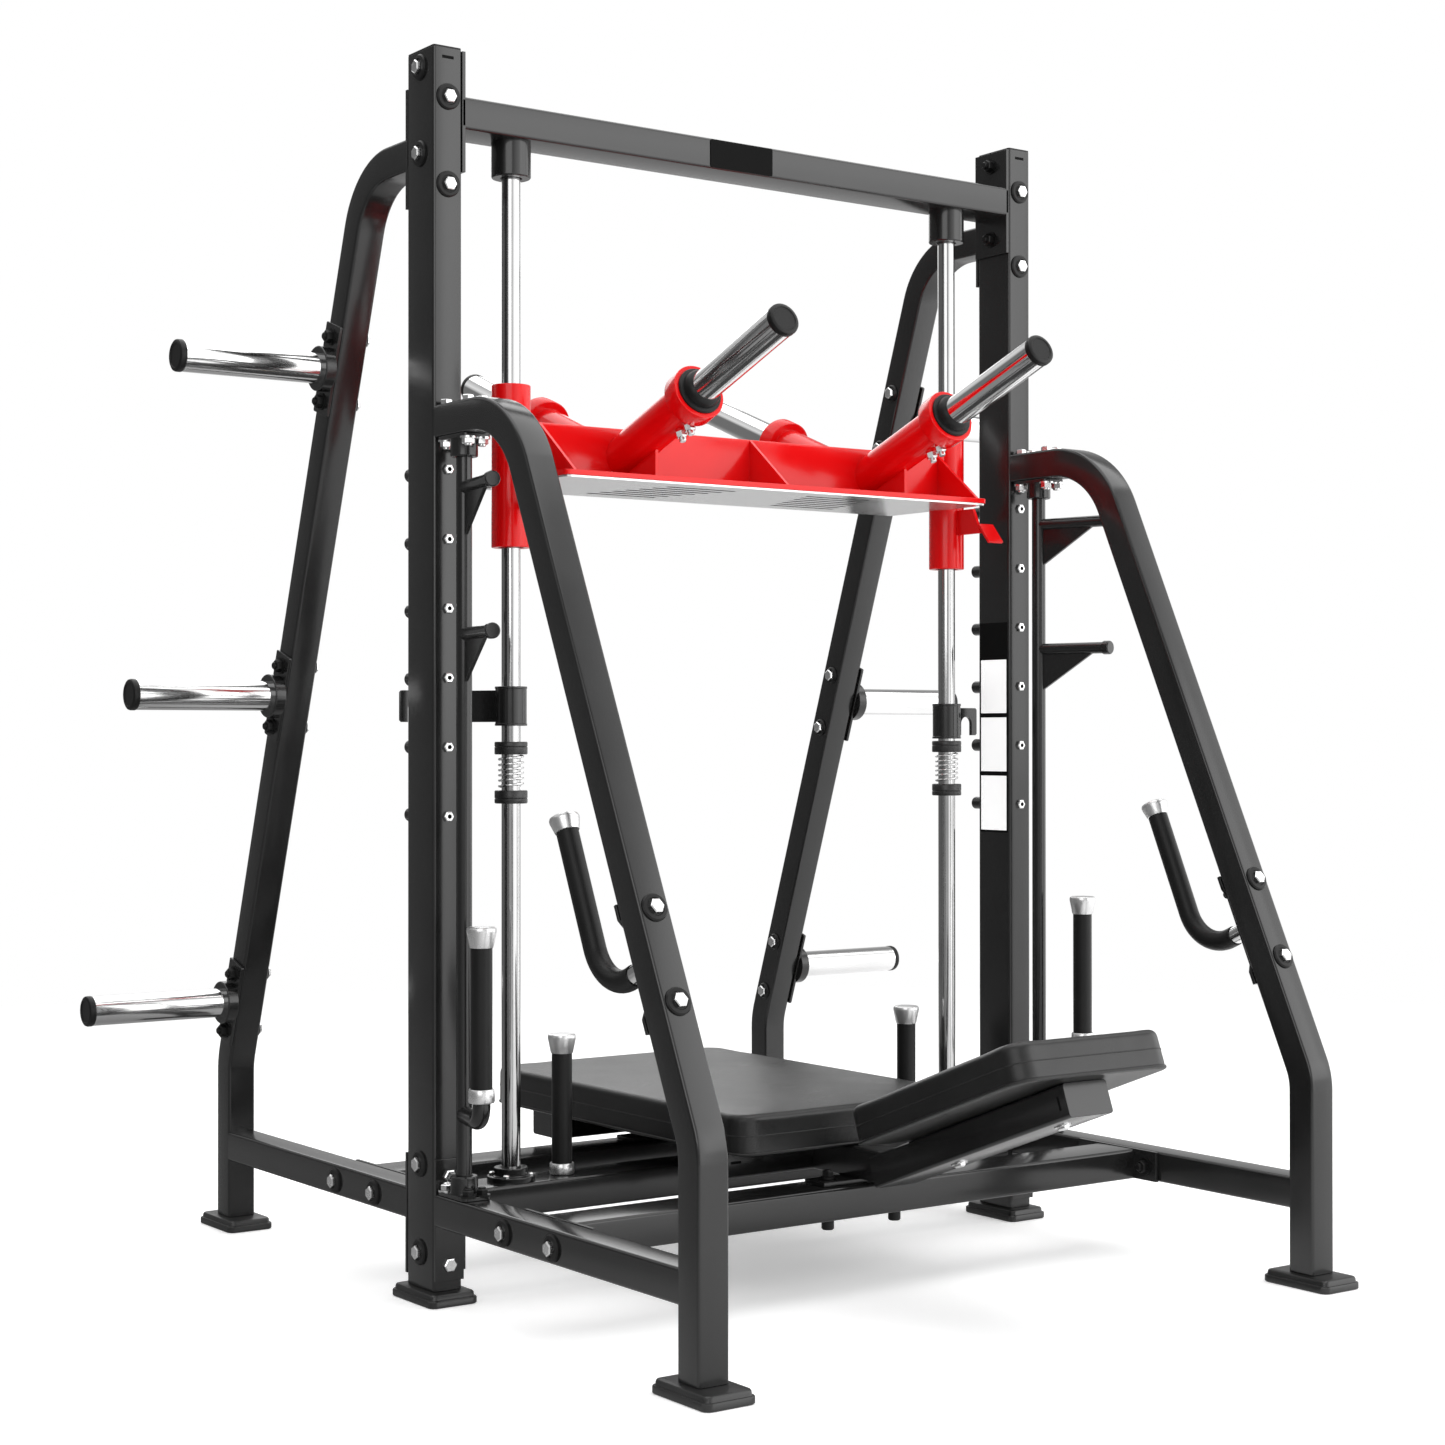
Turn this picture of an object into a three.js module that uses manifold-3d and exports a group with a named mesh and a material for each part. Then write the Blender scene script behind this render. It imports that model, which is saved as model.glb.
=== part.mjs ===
// A plate-loaded vertical leg-press frame: a press carriage that slides on two upright
// guide rods, over a floor bench, with adjustable stoppers and swing-in safety pegs.
// Millimetres, +Z up. The user's head lies towards -Y, the left side is -X.
import * as THREE from "three";
import { mergeVertices } from "three/addons/utils/BufferGeometryUtils.js";
import Module from "manifold-3d";

const wasm = await Module();
wasm.setup();

// ---- driving dimensions ----------------------------------------------------------------
const GAP = 0.3; // clearance between neighbouring pieces
const SIDES = [["left", -1], ["right", 1]];
const TUBE = 50; // wall-to-wall width of every steel tube
const DEEP = 84; // depth of the uprights and cross-beams
const CORNER = 5; // rounding of a tube's long edges
const PLATE = 6; // thickness of the bolted flanges
const FLANGE_LENGTH = 186;

const POST_X = 587; // centre of an upright, and of the legs in line with it
const POST_TOP = 1924;
const FOOT_HEIGHT = 20;
const FOOT_HALF_X = 42;
const FOOT_HALF_Y = 66;
const FOOT_BEVEL = 6;
const FOOT_CORNER = 12;
const POST_INNER = POST_X - TUBE / 2;
const POST_OUTER = POST_X + TUBE / 2;

const RAIL_Z = [120, 170]; // side rails and cross-beams near the floor
const BEAM_Z = [119, 169];
const TOP_BEAM_Z = [1801, 1851];
const CROSS_BEAMS = [["front_cross_beam", -318], ["rear_cross_beam", 218]];

const ROD_X = 450;
const ROD_RADIUS = 15;
const ROD_BORE = 16;
const COLLAR_RADIUS = 31.5;
const COLLAR_BOTTOM = 1745; // under side of the black collars below the top beam
const ROD_SEAT = 10; // solid top of a collar, above the rod's end
const SOCKET_TOP = 190;

const PEG_HEIGHTS = [744, 850, 956, 1062, 1168, 1275];
const PEG_RADIUS = 11;
const PEG_LENGTH = 38;

const LEG_END_Y = 720; // both legs stand this far from the uprights
const FRONT_ARM_Z = 1347; // centre of the level top of a front leg
const REAR_ARM_Z = 1770;

const SHAFT_Y = -92; // axis of the swinging safety shafts
const SHAFT_RADIUS = 12;
const SHAFT_PEG_Z = [1021, 1243];
const SHAFT_PEG_LENGTH = 150;
const PEG_REST_ANGLE = 13.5; // degrees that the safety pegs point outwards from the front
const CRANK_Z = 295;
const CRANK_RADIUS = 91;

const PLATE_Z = [1270, 1278.3]; // red deck of the press carriage
const DECK_HALF_X = 430;
const DECK_HALF_Y = 132;
const DECK_CORNER = 8;
const CARRIAGE_BEAM_TOP = 1362;
const SLEEVE_RADIUS = 31;
const SLEEVE_Z = [1163, 1419];
const BUSH_RADIUS = 20;
const TURNING_GAP = 0.9; // radial clearance of a sleeve that turns
const HORN_X = 255;
const HORN_TILT = 20.8; // degrees above level
const HORN_ROOT_Z = 1308;
const SOCKET_END = 255; // distance along a load horn to the end of its red socket

const HANDLE_ROOT = [-585.1, 552.3]; // [y, z] along the pull handle, its bend rounded by 70 mm
const HANDLE_BEND = [-486.6, 505.9, 70];
const HANDLE_END = [-385.6, 731];

const HORN_RADIUS = 25; // 50 mm plate sleeves
const STORAGE_TIP_X = 882;
const STORAGE_PLACES = [[306, 1467], [492, 935], [679, 401]]; // [y, z], top first
const REAR_SLOPE = 19.3; // degrees of the rear legs from upright
const FRONT_SLOPE = 24.8;

const STOPPER_BOTTOM = { left: 883, right: 862 };
const STOPPER_HEIGHT = 62;
const STOPPER_RADIUS = 25.5;
const ARM_LINE = [[463, 14], [504, 91, 14], [598, 91]]; // plan of the stopper's bent arm
const ARM_THICK = 7;
const ARM_Z = [6, 56]; // above the sleeve's lower end
const SLOT_X = 573; // centre of the slot that drops over a peg
const SLOT_HALF = 12.5;
const SLOT_TOP = 40;
const BUMPER_Z = [761, 782, 838, 858]; // seat, spring and ring, from the bottom

const PAD_Z = [225.3, 290];
const PAD_HALF_X = 240;
const PAD_Y = [-324, 419];
const HEAD_HALF_X = 150;
const HEAD_TILT = 20.5;
const HEAD_THICK = 60;
const HEAD_LENGTH = 401;
const HEAD_TOP_START = [-458, 308.5]; // [y, z] of the lower end of the top surface

const COLOURS = {
  frame: [0x1c1c1e, 0.32, 0.35],
  carriage: [0xd01012, 0.28, 0.1],
  chrome: [0xd8dade, 0.08, 1],
  rubber: [0x101011, 0.75, 0],
  grip: [0x141415, 0.6, 0],
  vinyl: [0x161617, 0.45, 0],
  steel: [0xb9bcc0, 0.3, 0.9],
  bronze: [0x9a7a3c, 0.35, 0.9],
  tread: [0xc4c6c8, 0.4, 0.7],
};

// ---- solids ----------------------------------------------------------------------------
const MERGE_DISTANCE = 1e-3;

function solidOf(geometry) {
  const bare = geometry.index ? geometry.toNonIndexed() : geometry.clone();
  bare.deleteAttribute("normal");
  bare.deleteAttribute("uv");
  const merged = mergeVertices(bare, MERGE_DISTANCE);
  return new wasm.Manifold(
    new wasm.Mesh({
      numProp: 3,
      vertProperties: merged.attributes.position.array,
      triVerts: new Uint32Array(merged.index.array),
    }),
  );
}

function geometryOf(solid) {
  const mesh = solid.getMesh();
  return new THREE.BufferGeometry()
    .setAttribute("position", new THREE.BufferAttribute(mesh.vertProperties, 3))
    .setIndex(new THREE.BufferAttribute(mesh.triVerts, 1));
}

function join(...geometries) {
  return geometryOf(geometries.map(solidOf).reduce((all, next) => all.add(next)));
}

function cut(geometry, ...tools) {
  return geometryOf(tools.map(solidOf).reduce((all, next) => all.subtract(next), solidOf(geometry)));
}

// ---- shapes ----------------------------------------------------------------------------
const radians = THREE.MathUtils.degToRad;

function box([x0, x1], [y0, y1], [z0, z1]) {
  return new THREE.BoxGeometry(x1 - x0, y1 - y0, z1 - z0)
    .translate((x0 + x1) / 2, (y0 + y1) / 2, (z0 + z1) / 2);
}

// An x range given from the middle outwards, put on the side that sign names.
function sided(sign, inner, outer) {
  return sign > 0 ? [inner, outer] : [-outer, -inner];
}

function roundedRectangle([u0, u1], [v0, v1], radius) {
  const shape = new THREE.Shape();
  shape.moveTo(u0 + radius, v0);
  shape.lineTo(u1 - radius, v0);
  shape.absarc(u1 - radius, v0 + radius, radius, -Math.PI / 2, 0);
  shape.lineTo(u1, v1 - radius);
  shape.absarc(u1 - radius, v1 - radius, radius, 0, Math.PI / 2);
  shape.lineTo(u0 + radius, v1);
  shape.absarc(u0 + radius, v1 - radius, radius, Math.PI / 2, Math.PI);
  shape.lineTo(u0, v0 + radius);
  shape.absarc(u0 + radius, v0 + radius, radius, Math.PI, 1.5 * Math.PI);
  return shape;
}

const X = new THREE.Vector3(1, 0, 0);
const Y = new THREE.Vector3(0, 1, 0);
const Z = new THREE.Vector3(0, 0, 1);
const AXES = { x: [Y, Z, X], y: [Z, X, Y], z: [X, Y, Z] };

// A shape extruded along an axis: x takes (y, z) shapes, y takes (z, x), z takes (x, y).
function prism(axis, shape, [from, to], curveSegments = 3, bevel = 0, bevelSegments = 2) {
  return new THREE.ExtrudeGeometry(shape, {
    depth: to - from - 2 * bevel,
    curveSegments,
    bevelEnabled: bevel > 0,
    bevelThickness: bevel,
    bevelSize: bevel,
    bevelOffset: -bevel,
    bevelSegments,
  })
    .translate(0, 0, from + bevel)
    .applyMatrix4(new THREE.Matrix4().makeBasis(...AXES[axis]));
}

// A tube's outer form, rounded along its length, which runs along the axis.
function bar(axis, x, y, z, radius = CORNER) {
  const across = { x: [y, z, x], y: [z, x, y], z: [x, y, z] }[axis];
  return prism(axis, roundedRectangle(across[0], across[1], radius), across[2], 2);
}

// A solid of revolution about +Z from [radius, height] points.
function lathe(profile, sides = 16) {
  const points = profile.map(([r, z]) => new THREE.Vector2(r, z));
  return new THREE.LatheGeometry(points, sides).rotateX(Math.PI / 2);
}

function rod(radius, [z0, z1], sides = 16) {
  return lathe([[0, z0], [radius, z0], [radius, z1], [0, z1]], sides);
}

function ring(inner, outer, [z0, z1], sides = 16) {
  return lathe([[inner, z0], [outer, z0], [outer, z1], [inner, z1], [inner, z0]], sides);
}

// Turns a shape built along +Z so that it runs along a direction from a point.
function aimed(geometry, direction, [x, y, z]) {
  const turn = new THREE.Quaternion().setFromUnitVectors(Z, direction.clone().normalize());
  return geometry.applyQuaternion(turn).translate(x, y, z);
}

// Points along a [u, v] line whose corners [u, v, radius] are rounded.
function roundedLine(corners, degreesPerStep = 10) {
  const points = [];
  corners.forEach(([u, v, radius], i) => {
    const here = new THREE.Vector2(u, v);
    if (!radius) {
      points.push(here);
      return;
    }
    const back = new THREE.Vector2(...corners[i - 1].slice(0, 2)).sub(here).normalize();
    const ahead = new THREE.Vector2(...corners[i + 1].slice(0, 2)).sub(here).normalize();
    const half = Math.acos(back.dot(ahead)) / 2;
    const turn = Math.PI - 2 * half;
    const middle = back.clone().add(ahead).normalize();
    const centre = here.clone().addScaledVector(middle, radius / Math.sin(half));
    const start = here.clone().addScaledVector(back, radius / Math.tan(half)).sub(centre);
    const sense = Math.sign(back.cross(ahead)) * -1;
    const steps = Math.ceil(turn / radians(degreesPerStep));
    for (let k = 0; k <= steps; k += 1) {
      const arm = start.clone().rotateAround(new THREE.Vector2(), (sense * turn * k) / steps);
      points.push(arm.add(centre));
    }
  });
  return points;
}

// The side outline of a bent tube, half its width on each side of the centreline.
function bentOutline(corners, width) {
  const line = roundedLine(corners);
  const edge = (sign) =>
    line.map((point, i) => {
      const before = line[Math.max(i - 1, 0)];
      const after = line[Math.min(i + 1, line.length - 1)];
      const along = after.clone().sub(before).normalize();
      const normal = new THREE.Vector2(-along.y, along.x);
      return point.clone().addScaledVector(normal, (sign * width) / 2);
    });
  const points = [...edge(-1), ...edge(1).reverse()];
  return new THREE.Shape(THREE.ShapeUtils.area(points) < 0 ? points.reverse() : points);
}

class RoundedRoute extends THREE.CurvePath {
  constructor(points) {
    super();
    points.slice(1).forEach((point, i) => this.add(new THREE.LineCurve3(points[i], point)));
  }
}

// A round tube along a rounded line of points in the plane x = place.
function pipe(place, corners, radius, steps, sides = 12) {
  const line = roundedLine(corners, 5).map((p) => new THREE.Vector3(place, p.x, p.y));
  const section = new THREE.Shape();
  for (let i = 0; i < sides; i += 1) {
    const angle = (i / sides) * 2 * Math.PI;
    const point = [radius * Math.cos(angle), radius * Math.sin(angle)];
    i ? section.lineTo(...point) : section.moveTo(...point);
  }
  return new THREE.ExtrudeGeometry(section, {
    steps,
    bevelEnabled: false,
    extrudePath: new RoundedRoute(line),
  });
}

// ---- the assembly ----------------------------------------------------------------------
const machine = new THREE.Group();

function addPiece(name, geometry, colour) {
  const [color, roughness, metalness] = COLOURS[colour];
  const material = new THREE.MeshStandardMaterial({ color, roughness, metalness });
  const mesh = new THREE.Mesh(geometry, material);
  mesh.name = name;
  machine.add(mesh);
}

// ---- uprights and feet -----------------------------------------------------------------
function peg(z) {
  const chamfer = 4;
  const profile = [
    [0, -2], [PEG_RADIUS, -2], [PEG_RADIUS, PEG_LENGTH - chamfer],
    [PEG_RADIUS - chamfer, PEG_LENGTH], [0, PEG_LENGTH],
  ];
  return aimed(lathe(profile, 12), Y, [0, DEEP / 2, z]);
}

function upright(sign) {
  const body = bar("z", [-TUBE / 2, TUBE / 2], [-DEEP / 2, DEEP / 2], [FOOT_HEIGHT + GAP, POST_TOP]);
  const slot = box([-10, 10], [-DEEP / 2 - 1, -DEEP / 2 + 3], [1905, 1909]);
  return cut(join(body, ...PEG_HEIGHTS.map(peg)), slot).translate(sign * POST_X, 0, 0);
}

// A foot with a rounded upper edge over a flat underside.
function foot(x, y) {
  const xs = [x - FOOT_HALF_X, x + FOOT_HALF_X];
  const ys = [y - FOOT_HALF_Y, y + FOOT_HALF_Y];
  const outline = roundedRectangle(xs, ys, FOOT_CORNER);
  const block = prism("z", outline, [-FOOT_BEVEL, FOOT_HEIGHT], 2, FOOT_BEVEL, 1);
  return cut(block, box([-1e3, 1e3], [-1e3, 1e3], [-50, 0]));
}

for (const [side, sign] of SIDES) {
  addPiece(`upright_${side}`, upright(sign), "frame");
  addPiece(`middle_foot_${side}`, foot(sign * POST_X, 0), "rubber");
  addPiece(`front_foot_${side}`, foot(sign * POST_X, -LEG_END_Y), "rubber");
  addPiece(`rear_foot_${side}`, foot(sign * POST_X, LEG_END_Y), "rubber");
}

// ---- cross-beams -----------------------------------------------------------------------
const BEAM_END = POST_INNER - GAP;

function crossBeam(y, z, plateY, plateZ) {
  const beam = bar("x", [-BEAM_END + 1, BEAM_END - 1], [y - DEEP / 2, y + DEEP / 2], z);
  const plates = SIDES.map(([, sign]) => box(sided(sign, BEAM_END - PLATE, BEAM_END), plateY, plateZ));
  return join(beam, ...plates);
}

function topCollar(sign) {
  const top = TOP_BEAM_Z[0];
  const seat = top - ROD_SEAT;
  const profile = [
    [0, top + 1], [COLLAR_RADIUS, top + 1], [COLLAR_RADIUS, COLLAR_BOTTOM],
    [ROD_BORE, COLLAR_BOTTOM], [ROD_BORE, seat], [0, seat],
  ];
  return lathe(profile.reverse(), 20).translate(sign * ROD_X, 0, 0);
}

function rodSocket(sign) {
  const base = BEAM_Z[1];
  const [flange, neck] = [38, 27];
  const profile = [
    [ROD_BORE, base - 1], [flange, base - 1], [flange, base + 8], [neck, base + 8],
    [neck, SOCKET_TOP], [ROD_BORE, SOCKET_TOP], [ROD_BORE, base - 1],
  ];
  return lathe(profile).translate(sign * ROD_X, 0, 0);
}

const POST_Y = [-DEEP / 2, DEEP / 2];
const topBeam = crossBeam(0, TOP_BEAM_Z, POST_Y, [1734, 1734 + FLANGE_LENGTH]);
const middleBeam = crossBeam(0, BEAM_Z, POST_Y, [49, 49 + FLANGE_LENGTH]);
addPiece("top_beam", join(topBeam, topCollar(-1), topCollar(1)), "frame");
addPiece("middle_cross_beam", join(middleBeam, rodSocket(-1), rodSocket(1)), "frame");
for (const [name, y] of CROSS_BEAMS) {
  const plateY = [y - FLANGE_LENGTH / 2, y + FLANGE_LENGTH / 2];
  addPiece(name, crossBeam(y, BEAM_Z, plateY, RAIL_Z), "frame");
}

// ---- legs with their side rails --------------------------------------------------------
const LEG_FOOT = FOOT_HEIGHT + GAP;
const POST_FACE = DEEP / 2 + GAP;
const FRONT_LINE = [
  [-POST_FACE, FRONT_ARM_Z],
  [-249, FRONT_ARM_Z, 150],
  [-LEG_END_Y, 328.6, 100],
  [-LEG_END_Y, LEG_FOOT],
];
const REAR_LINE = [
  [POST_FACE + PLATE - 1, REAR_ARM_Z],
  [203, REAR_ARM_Z, 125],
  [LEG_END_Y, 293, 120],
  [LEG_END_Y, LEG_FOOT],
];

// A bent tube, a level rail to the upright, and the flanges that bolt to the upright.
const FLANGES_LOW = [36, 36 + FLANGE_LENGTH];
const FLANGES_HIGH = [1685, 1685 + FLANGE_LENGTH];

function leg(sign, corners, direction, flangesZ) {
  const x = sided(sign, POST_INNER, POST_OUTER);
  const along = (near, far) => (direction > 0 ? [near, far] : [-far, -near]);
  const tube = prism("x", bentOutline(corners, TUBE), x, 1, CORNER);
  const rail = bar("y", x, along(POST_FACE + 1, LEG_END_Y - 10), RAIL_Z);
  const flanges = flangesZ.map((z) => box(x, along(POST_FACE, POST_FACE + PLATE), z));
  const below = box([-1e3, 1e3], [-1e3, 1e3], [-50, LEG_FOOT]);
  const behind = box([-1e3, 1e3], along(-50, POST_FACE), [0, 2e3]);
  return cut(join(tube, rail, ...flanges), below, behind);
}

for (const [side, sign] of SIDES) {
  addPiece(`front_leg_${side}`, leg(sign, FRONT_LINE, -1, [FLANGES_LOW]), "frame");
  addPiece(`rear_leg_${side}`, leg(sign, REAR_LINE, 1, [FLANGES_LOW, FLANGES_HIGH]), "frame");
}

// ---- guide rods, bumpers and stoppers --------------------------------------------------
const ROD_Z = [BEAM_Z[1] + GAP, TOP_BEAM_Z[0] - ROD_SEAT - GAP];

// A compression spring: a round wire wound about +Z.
class Helix extends THREE.Curve {
  constructor(radius, z0, z1, turns) {
    super();
    Object.assign(this, { radius, z0, z1, turns });
  }

  getPoint(t, target = new THREE.Vector3()) {
    const angle = 2 * Math.PI * this.turns * t;
    const z = this.z0 + (this.z1 - this.z0) * t;
    return target.set(this.radius * Math.cos(angle), this.radius * Math.sin(angle), z);
  }
}

function spring([z0, z1]) {
  const wire = 2;
  const turns = 5;
  const section = new THREE.Shape();
  [[wire, 0], [0, wire], [-wire, 0], [0, -wire]].forEach(([u, v], i) => {
    i ? section.lineTo(u, v) : section.moveTo(u, v);
  });
  const path = new Helix(18.5, z0 + wire + GAP, z1 - wire - GAP, turns);
  return new THREE.ExtrudeGeometry(section, { steps: turns * 10, bevelEnabled: false, extrudePath: path });
}

// The (z, x) outline of a slot open below, with a round top.
function slotShape(x, bottom, top) {
  const shape = new THREE.Shape();
  shape.moveTo(bottom, x - SLOT_HALF);
  shape.lineTo(top - SLOT_HALF, x - SLOT_HALF);
  shape.absarc(top - SLOT_HALF, x, SLOT_HALF, -Math.PI / 2, Math.PI / 2);
  shape.lineTo(bottom, x + SLOT_HALF);
  return shape;
}

// A sleeve round the rod with an arm bent behind the upright. The sleeve is turned back, so
// that the slot in the arm stands just clear of the pegs.
function stopper(sign, bottom) {
  const top = bottom + STOPPER_HEIGHT;
  const onRod = (geometry) => geometry.translate(sign * ROD_X, 0, 0);
  const sleeve = onRod(rod(STOPPER_RADIUS, [bottom, top]));
  const line = ARM_LINE.map(([x, y, ...radius]) => [sign * x, y, ...radius]);
  const arm = prism("z", bentOutline(line, ARM_THICK), ARM_Z.map((z) => bottom + z), 1);
  const bore = onRod(rod(BUSH_RADIUS + TURNING_GAP, [bottom - 1, top + 1]));
  const armY = ARM_LINE[1][1];
  const outline = slotShape(sign * SLOT_X, bottom, bottom + SLOT_TOP);
  const slot = prism("y", outline, [armY - ARM_THICK, armY + ARM_THICK]);
  return cut(join(sleeve, arm), bore, slot);
}

for (const [side, sign] of SIDES) {
  const [seatZ, springZ, ringZ, topZ] = BUMPER_Z;
  const bottom = STOPPER_BOTTOM[side];
  const onRod = (geometry) => geometry.translate(sign * ROD_X, 0, 0);
  addPiece(`guide_rod_${side}`, onRod(rod(ROD_RADIUS, ROD_Z, 20)), "chrome");
  addPiece(`bumper_seat_${side}`, onRod(ring(ROD_BORE, 26, [seatZ, springZ])), "rubber");
  addPiece(`bumper_spring_${side}`, onRod(spring([springZ, ringZ])), "steel");
  addPiece(`bumper_ring_${side}`, onRod(ring(ROD_BORE, 26, [ringZ, topZ])), "rubber");
  const bushZ = [bottom + 1, bottom + STOPPER_HEIGHT - 1];
  addPiece(`stopper_bush_${side}`, onRod(ring(ROD_BORE, BUSH_RADIUS, bushZ)), "bronze");
  addPiece(`stopper_hook_${side}`, stopper(sign, bottom), "frame");
}

// ---- swing-in safety shafts ------------------------------------------------------------
const ARM_UNDER = FRONT_ARM_Z - TUBE / 2; // under side of the front leg's level arm
const BEARING_HEIGHT = 33;
const BEARING_Y = [SHAFT_Y - 42, SHAFT_Y + 42];
const BEARING_BORE = SHAFT_RADIUS + 0.6;

// A flanged bearing; the flange is at the z nearest to the tube that carries it.
function bearing(sign, seat, direction) {
  const span = (near, far) => (direction > 0 ? [seat + near, seat + far] : [seat - far, seat - near]);
  const at = (geometry) => geometry.translate(sign * POST_X, SHAFT_Y, 0);
  const flange = box(sided(sign, POST_INNER + 1, POST_OUTER - 1), BEARING_Y, span(GAP, PLATE));
  const boss = at(rod(21, span(GAP, BEARING_HEIGHT), 16));
  const bore = at(rod(BEARING_BORE, span(PLATE, BEARING_HEIGHT + 1), 16));
  return cut(join(flange, boss), bore);
}

// A round peg with a head, square to the shaft, over a triangular web.
function shaftPeg(z) {
  const [radius, end] = [10, SHAFT_PEG_LENGTH];
  const head = end - 14;
  const profile = [
    [0, 0], [radius, 0], [radius, head], [radius + 2, head], [radius + 2, end - 2], [radius, end], [0, end],
  ];
  const round = aimed(lathe(profile, 12), Y.clone().negate(), [0, 0, z]);
  const outline = new THREE.Shape([
    new THREE.Vector2(-8, z - 74),
    new THREE.Vector2(-8, z - 5),
    new THREE.Vector2(-120, z - 5),
  ].reverse());
  return join(round, prism("x", outline, [-3, 3], 1));
}

function crankPath() {
  return [[-4, CRANK_Z], [-CRANK_RADIUS, CRANK_Z, 25], [-CRANK_RADIUS, 324]];
}

// The shaft, its pegs and its crank, built pointing to -Y and then turned outwards.
function safetyShaft(sign) {
  const z = [RAIL_Z[1] + PLATE + GAP, ARM_UNDER - PLATE - GAP];
  const post = rod(SHAFT_RADIUS, z, 16);
  const crank = pipe(0, crankPath(), 13.5, 9, 10);
  const tail = rod(11, [318, 540], 12).translate(0, -CRANK_RADIUS, 0);
  return join(post, ...SHAFT_PEG_Z.map(shaftPeg), crank, tail)
    .rotateZ(radians(sign * PEG_REST_ANGLE))
    .translate(sign * POST_X, SHAFT_Y, 0);
}

// A rubber grip between a bright ring and a flared cap, from z0 up to z1.
function gripProfile(z0, z1, ringHeight, core) {
  const outer = [
    [18.5, z0], [20, z0 + 3], [19, z0 + ringHeight], [16.3, z0 + ringHeight],
    [16.3, z1 - 31], [17.5, z1 - 31], [22.5, z1 - 5], [20.5, z1], [0, z1],
  ];
  const inner = core ? [[0, z1 - 36], [core, z1 - 36], [core, z0]] : [[0, z0]];
  return [...inner, ...outer];
}

for (const [side, sign] of SIDES) {
  addPiece(`shaft_bottom_bearing_${side}`, bearing(sign, RAIL_Z[1], 1), "frame");
  addPiece(`shaft_top_bearing_${side}`, bearing(sign, ARM_UNDER, -1), "frame");
  addPiece(`safety_shaft_${side}`, safetyShaft(sign), "frame");
  const reach = radians(PEG_REST_ANGLE);
  const gripX = sign * (POST_X + CRANK_RADIUS * Math.sin(reach));
  const gripY = SHAFT_Y - CRANK_RADIUS * Math.cos(reach);
  const safetyGrip = lathe(gripProfile(324 + GAP, 585, 21, 11.6)).translate(gripX, gripY, 0);
  addPiece(`safety_grip_${side}`, safetyGrip, "grip");
  const staticGrip = lathe(gripProfile(BEAM_Z[1] + GAP, 393, 18, 0)).translate(sign * 356, 0, 0);
  addPiece(`bench_grip_${side}`, staticGrip, "grip");
}

// ---- pull handles on the front legs ----------------------------------------------------
// The fixing plate has a waist between its full-width ends.
function handlePlate() {
  const [end, half, waist] = [FLANGE_LENGTH / 2, TUBE / 2, 18];
  const corner = [[waist, 0], [waist, end - 34], [half, end - 22], [half, end]];
  const right = [...corner.map(([x, z]) => [x, -z]).reverse(), ...corner.slice(1)];
  const left = right.map(([x, z]) => [-x, z]).reverse();
  const outline = [...right, ...left].map(([x, z]) => new THREE.Vector2(z, x));
  return prism("y", new THREE.Shape(outline.reverse()), [-PLATE / 2, PLATE / 2], 1);
}

// A tube that leaves its plate squarely and bends up until it is parallel to the leg.
function pullHandle(sign) {
  const slope = radians(FRONT_SLOPE);
  const plate = handlePlate().rotateX(-slope).translate(sign * POST_X, ...HANDLE_ROOT);
  const tube = pipe(sign * POST_X, [HANDLE_ROOT, HANDLE_BEND, HANDLE_END], 16.3, 24);
  const cap = lathe([[0, 0], [17.3, 0], [22, 20], [20, 24], [0, 24]]);
  const up = new THREE.Vector3(0, Math.sin(slope), Math.cos(slope));
  return join(plate, tube, aimed(cap, up, [sign * POST_X, ...HANDLE_END]));
}

for (const [side, sign] of SIDES) addPiece(`pull_handle_${side}`, pullHandle(sign), "grip");

// ---- plate storage horns on the rear legs ----------------------------------------------
function storageHorn(sign, y, z) {
  const face = POST_OUTER + GAP;
  const neck = face + PLATE;
  const profile = [
    [0, neck - 1], [37, neck - 1], [37, neck + 18], [HORN_RADIUS, neck + 18],
    [HORN_RADIUS, STORAGE_TIP_X - 3], [HORN_RADIUS - 3, STORAGE_TIP_X], [0, STORAGE_TIP_X],
  ];
  const horn = lathe(profile).rotateY((sign * Math.PI) / 2).translate(0, y, z);
  const flange = box(sided(sign, face, neck), [-TUBE / 2, TUBE / 2], [-75, 75])
    .rotateX(radians(REAR_SLOPE))
    .translate(0, y, z);
  return join(horn, flange);
}

for (const [side, sign] of SIDES) {
  STORAGE_PLACES.forEach(([y, z], i) => {
    addPiece(`storage_horn_${side}_${i + 1}`, storageHorn(sign, y, z), "chrome");
  });
}

// ---- press carriage --------------------------------------------------------------------
const HORN_DIRECTION = (direction) =>
  new THREE.Vector3(0, direction * Math.cos(radians(HORN_TILT)), Math.sin(radians(HORN_TILT)));
const FRONT_BACK = [["front", -1], ["rear", 1]];
const BEAM_HALF_Y = 25;

// A 6 mm plate square to X, from [y, z] corners on the side that direction names.
function web(x, direction, corners) {
  const outline = corners.map(([y, z]) => new THREE.Vector2(direction * y, z));
  const shape = new THREE.Shape(direction > 0 ? outline : outline.reverse());
  return prism("x", shape, [x - PLATE / 2, x + PLATE / 2], 1);
}

function gusset(x, direction) {
  const [near, deck] = [BEAM_HALF_Y - 1, PLATE_Z[1] - 1];
  return web(x, direction, [[near, deck], [DECK_HALF_Y - 2, deck], [near, CARRIAGE_BEAM_TOP - 1]]);
}

// The web that props a horn socket on the deck.
function socketWeb(x, direction) {
  const [near, far, deck] = [BEAM_HALF_Y - 1, DECK_HALF_Y - 10, PLATE_Z[1] - 1];
  return web(x, direction, [[near, deck], [far, deck], [far, 1321], [near, 1285]]);
}

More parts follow.
